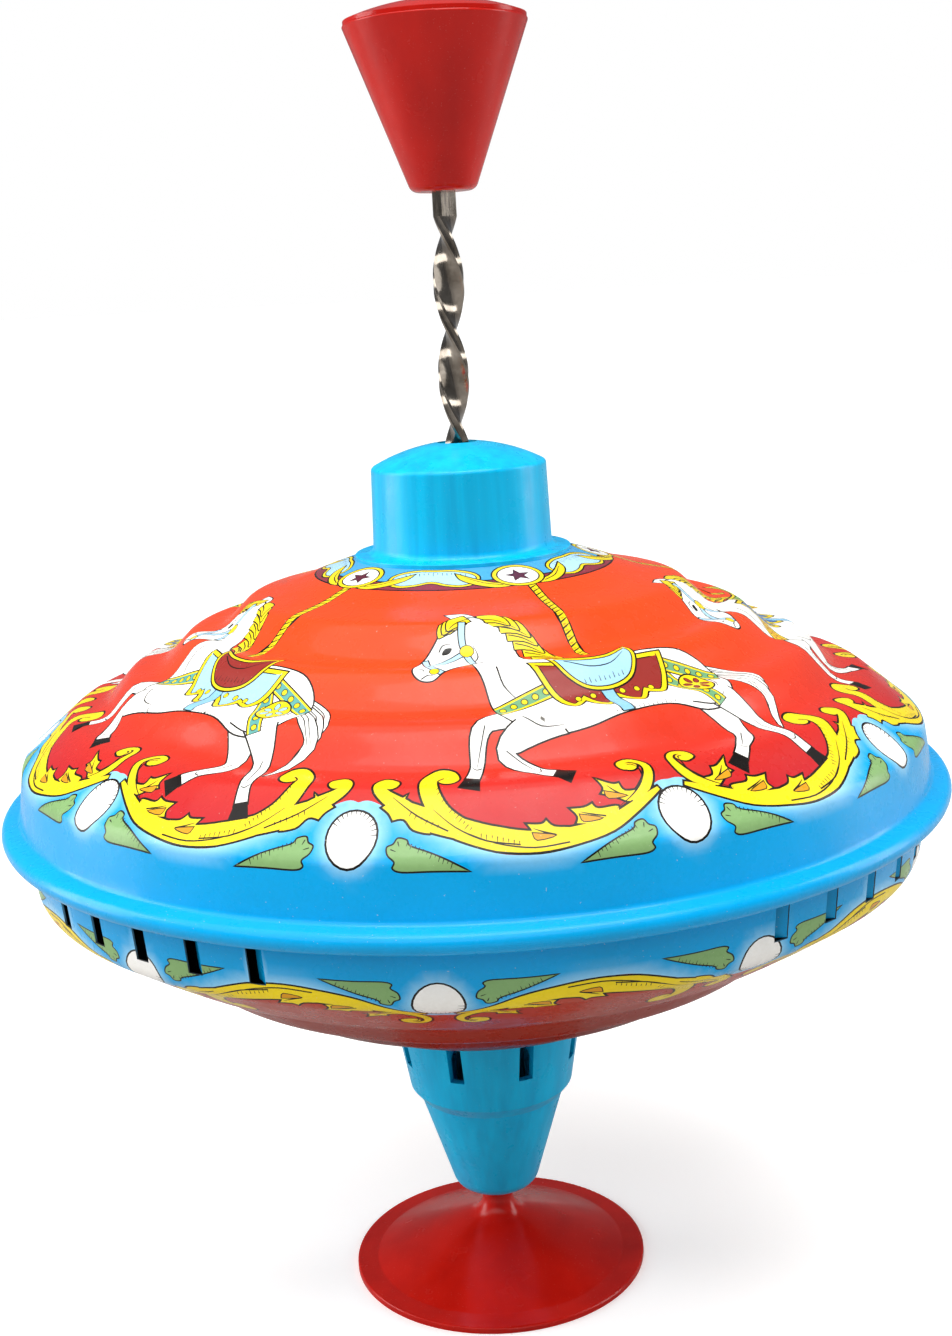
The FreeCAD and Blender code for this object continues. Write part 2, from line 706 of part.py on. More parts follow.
def pin_bore(radius):
    """Cross bore through the strip's flat side, in the knob's boss."""
    length = 2 * knob_boss_radius()
    bore = Part.makeCylinder(radius, length, FreeCAD.Vector(0, -length / 2, 0),
                             FreeCAD.Vector(0, 1, 0))
    bore.rotate(FreeCAD.Vector(0, 0, 0), FreeCAD.Vector(0, 0, 1), strip_angle(twist_top))
    bore.translate(FreeCAD.Vector(0, 0, knob_bottom + handle_pin_height))
    return bore


def knob_boss_radius():
    return rod_reach + fit_gap + knob_boss_wall


def make_handle_pin():
    return pin_bore(handle_pin_radius)


def make_rod_stop():
    washer = ring(0, stop_radius, stop_top - stop_thickness, stop_thickness)
    return washer.cut(twisted_strip(fit_gap, stop_top - stop_thickness - cut_over,
                                    stop_top + cut_over))


def make_handle_knob():
    top = knob_bottom + knob_height
    lean = (knob_top_radius - knob_base_radius) / knob_height
    floor = knob_bottom + 2 * wall
    inner_floor = knob_base_radius + lean * 2 * wall - wall
    seat = lid_edge + fit_gap
    outside = turned([
        (0, knob_bottom), (knob_base_radius, knob_bottom, knob_base_fillet),
        (knob_top_radius, top, edge_round), (0, top)])
    hollow = turned([
        (0, floor), (inner_floor, floor), (knob_top_radius - wall - lean * seat, top - seat),
        (knob_top_radius - wall, top), (0, top)])
    boss = ring(0, knob_boss_radius(), knob_bottom + wall, rod_grip + wall)
    socket = block(strip_width + 2 * fit_gap, strip_thickness + 2 * fit_gap,
                   rod_grip + socket_end_gap + cut_over, -strip_width / 2 - fit_gap,
                   knob_bottom - cut_over)
    socket.rotate(FreeCAD.Vector(0, 0, 0), FreeCAD.Vector(0, 0, 1), strip_angle(twist_top))
    return outside.cut(hollow).fuse(boss).cut(socket).cut(pin_bore(handle_pin_radius))


def make_handle_lid():
    top = knob_bottom + knob_height
    plug_radius = knob_top_radius - wall - fit_gap
    lean = (knob_top_radius - knob_base_radius) / knob_height
    lip_radius = plug_radius - lean * lid_lip_depth
    edge = knob_top_radius - lid_edge_inset
    sphere = (edge ** 2 + lid_dome_rise ** 2) / (2 * lid_dome_rise)
    crown = top + lid_edge
    centre = crown + lid_dome_rise - sphere
    rim = FreeCAD.Vector(edge, 0, crown)
    apex = FreeCAD.Vector(0, 0, crown + lid_dome_rise)
    between = FreeCAD.Vector(edge / 2, 0, centre + math.sqrt(sphere ** 2 - (edge / 2) ** 2))
    dome = Part.Arc(apex, between, rim).toShape()
    sides = fillet_path([
        (edge, crown), (edge, top), (plug_radius, top), (lip_radius, top - lid_lip_depth),
        (lip_radius - lid_thickness, top - lid_lip_depth), (lip_radius - lid_thickness, top),
        (0, top + lid_thickness)])
    axis = Part.makeLine(FreeCAD.Vector(0, 0, top + lid_thickness), apex)
    return spin([dome, *sides, axis])


def reed_length(index):
    return reed_longest - (reed_longest - reed_shortest) * index / (reed_count - 1)


def rivet_bore(bottom, height):
    hole = ring(0, reed_rivet_radius, bottom, height)
    hole.translate(FreeCAD.Vector(reed_root_radius, 0, 0))
    return hole


def make_reed_plate():
    solid = ring(reed_plate_inner, reed_plate_outer, reed_plate_bottom, reed_plate_thickness)
    for index in range(reed_count):
        window_start = reed_root_radius + reed_overhang - reed_length(index) - reed_window_gap
        window = block(reed_root_radius - reed_clamped - window_start,
                       reed_width + 2 * reed_window_gap, reed_plate_thickness, window_start,
                       reed_plate_bottom)
        hole = rivet_bore(reed_plate_bottom, reed_plate_thickness)
        for cutter in around(window.fuse(hole), 1, 360 * index / reed_count):
            solid = solid.cut(cutter)
    return solid


def make_reed(index):
    reed = block(reed_length(index), reed_width, reed_thickness,
                 reed_root_radius + reed_overhang - reed_length(index), reed_plate_top)
    reed = reed.cut(rivet_bore(reed_plate_top, reed_thickness))
    return around(reed, 1, 360 * index / reed_count)[0]


def make_reed_rivets():
    head = reed_plate_top + reed_thickness
    rivet = turned([
        (0, reed_plate_bottom), (reed_rivet_radius, reed_plate_bottom),
        (reed_rivet_radius, head), (reed_rivet_head, head),
        (reed_rivet_head, head + reed_rivet_height, reed_rivet_round),
        (0, head + reed_rivet_height)])
    rivet.translate(FreeCAD.Vector(reed_root_radius, 0, 0))
    return Part.makeCompound(around(rivet, reed_count))


def make_reed_gasket():
    return ring(reed_plate_outer - gasket_width, reed_plate_outer,
                hub_seat - collar_ledge_drop, gasket_thickness)


nodes = {
    "foot": make_foot(),
    "pivot_pin": make_pivot_pin(),
    "foot_clip": make_foot_clip(),
    "pivot_bush": make_pivot_bush(),
    "thrust_cup": make_thrust_cup(),
    "tube_plug": make_tube_plug(),
    "centre_tube": make_centre_tube(),
    "hub_cone": make_hub_cone(),
    "hub_collar": make_hub_collar(),
    "hub_ring": make_push_ring(hub_hole_radius, hub_seat_width, hub_seat + tin),
    "lower_shell": make_lower_shell(),
    "upper_shell": make_upper_shell(),
    "neck_cap": make_neck_cap(),
    "neck_ring": make_push_ring(neck_hole_radius, neck_seat_width,
                                neck_seat - tin - push_ring_thickness),
    "ratchet_ring": make_ratchet_ring(),
    "drive_nut": make_drive_nut(),
    "nut_retainer": make_nut_retainer(),
    "rod_bush": make_rod_bush(),
    "spiral_rod": make_spiral_rod(),
    "rod_stop": make_rod_stop(),
    "handle_pin": make_handle_pin(),
    "handle_knob": make_handle_knob(),
    "handle_lid": make_handle_lid(),
    "reed_plate": make_reed_plate(),
    "reed_rivets": make_reed_rivets(),
    "reed_gasket": make_reed_gasket(),
}
for index in range(reed_count):
    nodes[f"reed_{index + 1}"] = make_reed(index)

os.makedirs("parts", exist_ok=True)
for name, shape in nodes.items():
    box = shape.BoundBox
    print(f"{name:14s} valid {shape.isValid()} solids {len(shape.Solids)} "
          f"volume {shape.Volume:.1f} z {box.ZMin:.2f} to {box.ZMax:.2f} r {box.XMax:.2f}")
    shape.exportStep(f"parts/{name}.step")
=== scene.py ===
import math

import bpy
import numpy as np
from mathutils import Matrix, Vector
from mathutils.geometry import delaunay_2d_cdt
from mathutils.kdtree import KDTree


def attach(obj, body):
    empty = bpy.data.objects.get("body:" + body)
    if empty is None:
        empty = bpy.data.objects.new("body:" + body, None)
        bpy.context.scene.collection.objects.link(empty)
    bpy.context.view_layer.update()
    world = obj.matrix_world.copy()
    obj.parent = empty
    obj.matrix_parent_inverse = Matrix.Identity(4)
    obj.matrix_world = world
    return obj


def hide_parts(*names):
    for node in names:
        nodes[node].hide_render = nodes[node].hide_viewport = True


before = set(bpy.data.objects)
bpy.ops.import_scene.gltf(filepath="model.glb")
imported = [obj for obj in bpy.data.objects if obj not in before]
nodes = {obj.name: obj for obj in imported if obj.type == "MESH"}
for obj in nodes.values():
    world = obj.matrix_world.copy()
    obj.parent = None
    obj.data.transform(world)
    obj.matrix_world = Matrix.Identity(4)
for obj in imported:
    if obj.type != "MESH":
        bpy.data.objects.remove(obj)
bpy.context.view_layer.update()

mm = 0.001
print("frame loaded,", len(nodes), "nodes")


# small helpers for materials

def linear(hexColour):
    parts = [int(hexColour[i:i + 2], 16) / 255 for i in (0, 2, 4)]
    return (*[p / 12.92 if p <= 0.04045 else ((p + 0.055) / 1.055) ** 2.4 for p in parts], 1.0)


def addNode(tree, kind, inputs=None, **settings):
    node = tree.nodes.new(kind)
    for name, value in settings.items():
        setattr(node, name, value)
    for name, value in (inputs or {}).items():
        if isinstance(value, bpy.types.NodeSocket):
            tree.links.new(value, node.inputs[name])
        else:
            node.inputs[name].default_value = value
    return node


def newMaterial(name, **shader):
    material = bpy.data.materials.new(name)
    material.use_nodes = True
    tree = material.node_tree
    body = next(n for n in tree.nodes if n.type == "BSDF_PRINCIPLED")
    for key, value in shader.items():
        body.inputs[key.replace("_", " ")].default_value = value
    place = addNode(tree, "ShaderNodeTexCoord").outputs["Object"]
    return material, tree, body, place


def stretched(tree, place, scale):
    return addNode(tree, "ShaderNodeMapping", {"Vector": place, "Scale": scale}).outputs["Vector"]


def noise(tree, vector, perMetre, detail=3.0, roughness=0.5):
    return addNode(tree, "ShaderNodeTexNoise", {"Vector": vector, "Scale": perMetre, "Detail": detail,
                                                "Roughness": roughness}).outputs["Fac"]


def ramp(tree, value, low, high, outLow=0.0, outHigh=1.0):
    return addNode(tree, "ShaderNodeMapRange", {"Value": value, "From Min": low, "From Max": high,
                                                "To Min": outLow, "To Max": outHigh}).outputs["Result"]


def blendColour(tree, amount, first, second, kind="MIX"):
    node = addNode(tree, "ShaderNodeMix", data_type="RGBA", blend_type=kind)
    for index, value in ((0, amount), (6, first), (7, second)):
        if isinstance(value, bpy.types.NodeSocket):
            tree.links.new(value, node.inputs[index])
        else:
            node.inputs[index].default_value = value
    return node.outputs[2]


def tint(tree, body, tone, light, dark):
    tree.links.new(blendColour(tree, tone, linear(light), linear(dark)), body.inputs["Base Color"])


def roughen(tree, body, value, low, high, smooth, rough):
    tree.links.new(ramp(tree, value, low, high, smooth, rough), body.inputs["Roughness"])


def bump(tree, body, height, distance, strength=1.0, under=None):
    inputs = {"Height": height, "Distance": distance, "Strength": strength}
    if under is not None:
        inputs["Normal"] = under
    node = addNode(tree, "ShaderNodeBump", inputs)
    tree.links.new(node.outputs["Normal"], body.inputs["Normal"])
    return node.outputs["Normal"]


# camera, floor and light

viewPoint = {"place": (0.0, -0.3384, 0.1994), "pitch": 0.21272, "yaw": 0.00383, "roll": -0.0531,
             "lens": 47.5, "sensor": 36.0}


def addCamera(size):
    pitch, yaw, roll = size["pitch"], size["yaw"], size["roll"]
    ahead = Vector((math.sin(yaw) * math.cos(pitch), math.cos(yaw) * math.cos(pitch), -math.sin(pitch)))
    right = Vector((math.cos(yaw), -math.sin(yaw), 0))
    up = right.cross(ahead)
    across = right * math.cos(roll) + up * math.sin(roll)
    above = up * math.cos(roll) - right * math.sin(roll)
    data = bpy.data.cameras.new("camera")
    data.lens = size["lens"]
    data.sensor_width = size["sensor"]
    camera = bpy.data.objects.new("camera", data)
    bpy.context.scene.collection.objects.link(camera)
    turn = Matrix((across, above, -ahead)).transposed().to_4x4()
    camera.matrix_world = Matrix.Translation(size["place"]) @ turn
    bpy.context.scene.camera = camera


addCamera(viewPoint)

studio = {
    "floor": "FBFBFA", "floorGrain": "F4F4F2", "floorSize": 80.0, "floorGlow": 0.3,
    "floorShade": "B4B2B0",       # what the object gets back from the floor
    "seen": "FFFFFF", "air": "F4F8FF", "airStrength": 0.2, "aim": (0, 0, 0.11),
    "sky": ((-0.2, -0.35, 1.0), 90.0, 2.75),      # direction it comes from, spread in degrees, strength
    "lights": [                   # name, place, size in x and y, watts
        ("leftBox", (-0.95, 0.10, 0.35), (0.5, 0.9), 7.0),
        ("rightBox", (0.95, 0.15, 0.40), (0.35, 0.9), 5.0),
        ("topBox", (0.05, -0.25, 1.05), (0.9, 0.35), 5.0)]}


def addLamp(name, kind, turn, **settings):
    data = bpy.data.lights.new(name, kind)
    for key, value in settings.items():
        setattr(data, key, value)
    lamp = bpy.data.objects.new(name, data)
    bpy.context.scene.collection.objects.link(lamp)
    lamp.matrix_world = turn


def addStudio(size):
    bpy.ops.object.select_all(action="DESELECT")
    bpy.ops.mesh.primitive_plane_add(size=size["floorSize"], location=(0, 0, 0))
    floor = bpy.context.active_object
    floor.name = "floor"
    material, tree, body, place = newMaterial("matt pale card", Roughness=0.9)
    grain = noise(tree, place, 900, 4)
    shade = blendColour(tree, ramp(tree, grain, 0.3, 0.7), linear(size["floor"]), linear(size["floorGrain"]))
    direct = addNode(tree, "ShaderNodeLightPath").outputs["Is Camera Ray"]
    tree.links.new(blendColour(tree, direct, linear(size["floorShade"]), shade), body.inputs["Base Color"])
    body.inputs["Emission Color"].default_value = linear(size["floor"])
    tree.links.new(ramp(tree, direct, 0, 1, 0.0, size["floorGlow"]), body.inputs["Emission Strength"])
    floor.data.materials.append(material)
    world = bpy.data.worlds.new("studio air")
    bpy.context.scene.world = world
    world.use_nodes = True
    tree = world.node_tree
    sky = next(n for n in tree.nodes if n.type == "BACKGROUND")
    seen = addNode(tree, "ShaderNodeLightPath").outputs["Is Camera Ray"]
    tree.links.new(blendColour(tree, seen, linear(size["air"]), linear(size["seen"])), sky.inputs["Color"])
    tree.links.new(ramp(tree, seen, 0, 1, size["airStrength"], 1.0), sky.inputs["Strength"])
    come, spread, strength = size["sky"]
    addLamp("openSky", "SUN", Vector(come).to_track_quat("Z", "Y").to_matrix().to_4x4(),
            angle=math.radians(spread), energy=strength)
    for name, place, (wide, tall), power in size["lights"]:
        turn = (Vector(size["aim"]) - Vector(place)).to_track_quat("-Z", "Y").to_matrix().to_4x4()
        addLamp(name, "AREA", Matrix.Translation(place) @ turn, shape="RECTANGLE", size=wide, size_y=tall,
                energy=power)
    bpy.context.scene.view_settings.view_transform = "Standard"


addStudio(studio)
print("camera, floor and lights placed")


# materials of the plain pieces

def glossyPlastic(name, colour, deep, roughness, swirl):
    material, tree, body, place = newMaterial(name, Roughness=roughness, IOR=1.53)
    body.inputs["Coat Weight"].default_value = 0.05
    body.inputs["Coat Roughness"].default_value = 0.08
    body.inputs["Specular IOR Level"].default_value = 0.2
    flow = noise(tree, stretched(tree, place, swirl), 1.0, 4, 0.55)
    shade = blendColour(tree, ramp(tree, flow, 0.35, 0.7), linear(colour), linear(deep))
    specks = noise(tree, place, 5200, 1)
    shade = blendColour(tree, ramp(tree, specks, 0.74, 0.78, 0.0, 0.18), shade, linear("F4EDE4"))
    tree.links.new(shade, body.inputs["Base Color"])
    rub = noise(tree, place, 160, 4, 0.6)
    roughen(tree, body, rub, 0.35, 0.7, roughness * 0.8, roughness * 1.45)
    skin = bump(tree, body, noise(tree, place, 900, 2), 0.00002, 0.5)
    scuff = noise(tree, stretched(tree, place, (2600, 2600, 90)), 1.0, 2)
    bump(tree, body, ramp(tree, scuff, 0.62, 0.7), 0.000015, 0.4, skin)
    return material


# polystyrene moulded in a polished tool: deep red, wet-looking, with faint flow marks along the draw
redPlastic = glossyPlastic("red moulded polystyrene, polished", "CC1A0E", "AE1109", 0.2, (60, 60, 22))
# sky-blue polystyrene with a satin skin, so its highlights are wide and soft, and flow streaks run up it
bluePlastic = glossyPlastic("sky blue moulded polystyrene, satin", "00BEEE", "00AADC", 0.3, (420, 420, 14))


def brightNickel():
    # nickel-plated steel strip: hard light and dark bands, with fine drawn lines along it
    material, tree, body, place = newMaterial("nickel-plated drawn steel strip", Metallic=1.0)
    tone = noise(tree, place, 260, 4, 0.6)
    tint(tree, body, ramp(tree, tone, 0.35, 0.7), "968E84", "665E54")
    lines = noise(tree, stretched(tree, place, (9000, 9000, 250)), 1.0, 2)
    roughen(tree, body, lines, 0.3, 0.7, 0.09, 0.24)
    bump(tree, body, lines, 0.00001, 0.35)
    return material


def zincSteel():
    # zinc-plated spring steel of hidden fasteners: dull grey with a mottled bloom
    material, tree, body, place = newMaterial("zinc-plated spring steel", Metallic=1.0)
    tone = noise(tree, place, 700, 5, 0.65)
    tint(tree, body, tone, "B9BBB8", "8D8F8E")
    roughen(tree, body, tone, 0.3, 0.7, 0.28, 0.5)
    bump(tree, body, noise(tree, place, 2500, 3), 0.00001, 0.5)
    return material


def acetal():
    # natural acetal: waxy off-white with a soft sheen
    material, tree, body, place = newMaterial("natural acetal, moulded", Roughness=0.42, IOR=1.48)
    body.inputs["Subsurface Weight"].default_value = 0.15
    body.inputs["Subsurface Radius"].default_value = (0.0012, 0.001, 0.0008)
    tone = noise(tree, place, 240, 4)
    tint(tree, body, tone, "ECE9DF", "DDD9CC")
    bump(tree, body, noise(tree, place, 1500, 3), 0.00002, 0.5)
    return material


def reedBrass():
    # rolled brass strip: warm yellow metal with lines across the roll
    material, tree, body, place = newMaterial("rolled reed brass", Metallic=1.0)
    lines = noise(tree, stretched(tree, place, (300, 6000, 300)), 1.0, 3)
    tint(tree, body, lines, "D9B25C", "B58B3C")
    roughen(tree, body, lines, 0.3, 0.7, 0.18, 0.34)
    bump(tree, body, lines, 0.000008, 0.4)
    return material


def pressedFelt():
    # grey wool felt: no gloss, matted fibres
    material, tree, body, place = newMaterial("pressed wool felt", Roughness=0.95)
    body.inputs["Sheen Weight"].default_value = 0.3
    fibre = noise(tree, place, 3200, 6, 0.7)
    tint(tree, body, fibre, "6A655F", "48443F")
    bump(tree, body, fibre, 0.00015, 0.8)
    return material


nickel, zinc, whiteAcetal, brass, felt = brightNickel(), zincSteel(), acetal(), reedBrass(), pressedFelt()
finishes = {
    redPlastic: "foot handle_knob handle_lid",
    bluePlastic: "neck_cap hub_cone hub_collar",
    nickel: "spiral_rod rod_stop handle_pin pivot_pin thrust_cup",
    zinc: "foot_clip centre_tube hub_ring neck_ring",
    whiteAcetal: "pivot_bush tube_plug ratchet_ring drive_nut nut_retainer rod_bush reed_plate",
    brass: "reed_rivets reed_1 reed_2 reed_3 reed_4 reed_5 reed_6", felt: "reed_gasket"}
for finish, names in finishes.items():
    for nodeName in names.split():
        mesh = nodes[nodeName].data
        mesh.materials.clear()
        mesh.materials.append(finish)
print("plain pieces finished, in", len(finishes), "finishes")


# outlines of the two pressed shells, in mm as (radius, height)

def roundedPath(points, stepAngle=6.0):
    line = [Vector(points[0][:2])]
    for before, here, after in zip(points, points[1:], points[2:]):
        corner = Vector(here[:2])
        radius = here[2] if len(here) > 2 else 0
        if not radius:
            line.append(corner)
            continue
        back = (Vector(before[:2]) - corner).normalized()
        ahead = (Vector(after[:2]) - corner).normalized()
        half = (math.pi - back.angle(ahead)) / 2
        reach = radius * math.tan(half)
        middle = corner + (back + ahead).normalized() * (radius / math.cos(half))
        first = corner + back * reach - middle
        side = 1 if first.cross(corner + ahead * reach - middle) > 0 else -1
        count = max(2, math.ceil(math.degrees(2 * half) / stepAngle))
        line += [middle + Matrix.Rotation(side * 2 * half * i / count, 2) @ first for i in range(count + 1)]
    line.append(Vector(points[-1][:2]))
    return line


def bowed(start, end, bulge, radius):
    along = (radius - start[0]) / (end[0] - start[0])
    return start[1] + along * (end[1] - start[1]) + 4 * bulge * along * (1 - along)


def arcPoints(middle, radius, first, last, count):
    turns = [math.radians(first + (last - first) * i / count) for i in range(1, count + 1)]
    return [Vector((middle[0] + radius * math.cos(t), middle[1] + radius * math.sin(t))) for t in turns]


def evenly(line, longest):
    out = [line[0]]
    for point in line[1:]:
        last = out[-1]
        gap = (point - last).length
        if gap > 1e-6:
            pieces = math.ceil(gap / longest)
            out += [last.lerp(point, (i + 1) / pieces) for i in range(pieces)]
    return out


def ribCorners(start, end, bulge, first, count, pitch, height, bend):
    return [(first + i * pitch / 2, bowed(start, end, bulge, first + i * pitch / 2)
             + (height / 2 if i % 2 == 0 else -height / 2), bend) for i in range(2 * count + 1)]


shells = {
    "tin": 0.35, "ribPitch": 11.6, "ribBend": 5.0, "plainBend": 20.0,
    "neckHole": 13.65, "neckSeat": (21.25, 149.45), "domeEdge": (86.7, 115.85), "domeCrown": 3.3,
    "upperFirstRib": 41.6, "upperRib": 3.0, "upperPlain": (27.5875, 34.2625), "shoulderFillet": 2.8,
    "crease": (88.1, 105.85, 1.2), "bead": (89.7, 103.95), "beadRadius": 1.9, "curlEnd": -160.0,
    "hubHole": 17.95, "hubSeat": (22.55, 56.9), "dishEdge": (85.9, 91.7), "dishCrown": -2.3,
    "lowerFirstRib": 29.5, "lowerRib": 1.9, "lowerPlain": (70.7, 77.5), "dishFillet": 4.5,
    "wallTop": (87.3, 105.1, 0.8), "innerCurl": 1.15}


def upperLine(size):
    seat, edge, crown = size["neckSeat"], size["domeEdge"], size["domeCrown"]
    corners = [(size["neckHole"], seat[1]), (*seat, 4.0)]
    corners += [(r, bowed(seat, edge, crown, r), size["plainBend"]) for r in size["upperPlain"]]
    corners += ribCorners(seat, edge, crown, size["upperFirstRib"], 3, size["ribPitch"],
                          size["upperRib"], size["ribBend"])
    corners += [(*edge, size["shoulderFillet"]), size["crease"], (size["bead"][0], size["crease"][1])]
    return roundedPath(corners) + arcPoints(size["bead"], size["beadRadius"], 90, size["curlEnd"], 30)


def lowerLine(size):
    seat, edge, crown = size["hubSeat"], size["dishEdge"], size["dishCrown"]
    corners = [(size["hubHole"], seat[1]), (*seat, 3.0)]
    corners += ribCorners(seat, edge, crown, size["lowerFirstRib"], 3, size["ribPitch"],
                          size["lowerRib"], size["ribBend"])
    corners += [(r, bowed(seat, edge, crown, r), size["plainBend"]) for r in size["lowerPlain"]]
    corners += [(*edge, size["dishFillet"]), size["wallTop"], (size["bead"][0], size["wallTop"][1])]
    return roundedPath(corners) + arcPoints(size["bead"], size["innerCurl"], 90, -90, 10)


class Outline:

    def __init__(self, line, startAt):
        self.r = np.array([p.x for p in line])
        self.z = np.array([p.y for p in line])
        steps = np.hypot(np.diff(self.r), np.diff(self.z))
        self.s = startAt + np.concatenate([[0], np.cumsum(steps)])
        dr, dz = np.gradient(self.r, self.s), np.gradient(self.z, self.s)
        size = np.hypot(dr, dz)
        self.tr, self.tz = dr / size, dz / size

    def at(self, s):
        return np.interp(s, self.s, self.r), np.interp(s, self.s, self.z)


upperOutline = Outline(evenly(upperLine(shells), 0.6), shells["neckHole"])
lowerOutline = Outline(evenly(lowerLine(shells), 0.6), shells["hubHole"])
print("outlines:", round(float(upperOutline.s[-1]), 1), round(float(lowerOutline.s[-1]), 1), "mm")


# drawing in the flat disc: x to the right, y outwards from the axis, both in mm

def smoothLoop(points, steps=5, closed=True):
    count = len(points)
    flat = [Vector(p[:2]) for p in points]
    sharp = [len(p) > 2 for p in points]
    out = []
    spans = count if closed else count - 1
    for i in range(spans):
        p1, p2 = flat[i], flat[(i + 1) % count]
        p0 = flat[i - 1] if (closed or i > 0) and not sharp[i] else p1
        p3 = flat[(i + 2) % count] if (closed or i + 2 < count) and not sharp[(i + 1) % count] else p2
        for k in range(steps):
            t = k / steps
            out.append(0.5 * ((2 * p1) + (p2 - p0) * t + (2 * p0 - 5 * p1 + 4 * p2 - p3) * t * t
                              + (3 * p1 - p0 - 3 * p2 + p3) * t ** 3))
    if not closed:
        out.append(flat[-1])
    return out


def signedArea(loop):
    return sum(a.cross(b) for a, b in zip(loop, loop[1:] + loop[:1])) / 2


def grown(loop, distance):
    side = 1 if signedArea(loop) > 0 else -1
    out = []
    for i, here in enumerate(loop):
        a = here - loop[i - 1]
        b = loop[(i + 1) % len(loop)] - here
        if a.length < 1e-6 or b.length < 1e-6:
            out.append(here.copy())
            continue
        a.normalize()
        b.normalize()
        n = Vector((a.y + b.y, -a.x - b.x))
        if n.length < 0.3:
            n = Vector((a.y, -a.x))
        n.normalize()
        stretch = min(2.0, 1 / max(0.35, abs(n.dot(Vector((a.y, -a.x))))))
        out.append(here + n * side * distance * stretch)
    return out


def ribbon(points, widths, steps=5):
    line = smoothLoop(points, steps, closed=False)
    count = len(line) - 1
    left, right = [], []
    for i, here in enumerate(line):
        ahead = line[min(i + 1, count)] - line[max(i - 1, 0)]
        ahead = ahead.normalized() if ahead.length > 1e-9 else Vector((1, 0))
        part = i / count * (len(widths) - 1)
        k = min(int(part), len(widths) - 2)
        half = (widths[k] + (widths[k + 1] - widths[k]) * (part - k)) / 2
        side = Vector((-ahead.y, ahead.x)) * max(half, 0.04)
        left.append(here + side)
        right.append(here - side)
    return left + right[::-1]


def ellipse(x, y, rx, ry, turn=0.0, count=24):
    spin = Matrix.Rotation(math.radians(turn), 2)
    return [Vector((x, y)) + spin @ Vector((rx * math.cos(t), ry * math.sin(t)))
            for t in [2 * math.pi * i / count for i in range(count)]]


def turned(loop, degrees):
    t = math.radians(degrees)
    c, s = math.cos(t), math.sin(t)
    return [Vector((p.x * c + p.y * s, p.y * c - p.x * s)) for p in loop]


def mirrored(loop):
    return [Vector((-p.x, p.y)) for p in loop]


inkLine = 0.34                # width of the key line round every figure


def figure(art, ink, *loops, line=inkLine):
    if line:
        art += [("line", grown(loop, line / 2)) for loop in loops]
    art += [(ink, grown(loop, -line / 2) if line else loop) for loop in loops]


def marks(art, *lines, width=0.3, ink="line"):
    for points in lines:
        art.append((ink, ribbon(points, [width, width, 0.08], 4)))


def hatch(art, start, end, across, count, width=0.2, bow=0.0):
    a, b, d = Vector(start), Vector(end), Vector(across)
    for i in range(count):
        t = (i + 0.5) / count
        foot = a.lerp(b, t) + Vector((b.y - a.y, a.x - b.x)).normalized() * bow * 4 * t * (1 - t)
        size = 0.75 + 0.25 * math.sin(i * 2.4)
        art.append(("line", ribbon([foot, foot + d * size], [width, 0.08], 1)))


# the printed border: eggs, wedge leaves and acanthus swags, drawn for one half and mirrored

borderArt = {"eggMiddle": 93, "eggSize": (4.5, 5.2), "halfStep": 36}


def addEgg(art, turn):
    middle = Vector((0, borderArt["eggMiddle"]))
    loop = [p + Vector((0, 0.35 * math.cos(p.x / 3))) for p in ellipse(*middle, *borderArt["eggSize"])]
    shapes = []
    figure(shapes, "white", loop, line=0.4)
    for i in range(13):
        t = math.radians(-150 + i * 12)
        foot = middle + Vector((4.3 * math.cos(t), 5 * math.sin(t)))
        shapes.append(("line", ribbon([foot, foot + (middle - foot).normalized() * 1.1], [0.22, 0.08], 1)))
    art += [(ink, turned(loop, turn)) for ink, loop in shapes]


def addWedgeLeaves(art, turn):
    leaf = [(6.9, 96), (6.5, 94.6), (7.5, 93.9), (8.1, 92.8), (9.7, 93), (10.6, 94), (14.5, 94.9),
            (21.4, 96.7, 1), (15, 97.7), (9.8, 98.4), (8, 98), (8.2, 97)]
    shapes = []
    figure(shapes, "leaf", smoothLoop(leaf), line=0.3)
    hatch(shapes, (9.6, 93.2), (18.5, 95.9), (-0.2, 1.1), 12, bow=-0.1)
    marks(shapes, [(8.2, 93.4), (8.6, 94.3)], [(7.2, 94.9), (8.2, 95.2)], width=0.2)
    for ink, loop in shapes:
        art += [(ink, turned(loop, turn)), (ink, turned(mirrored(loop), turn))]


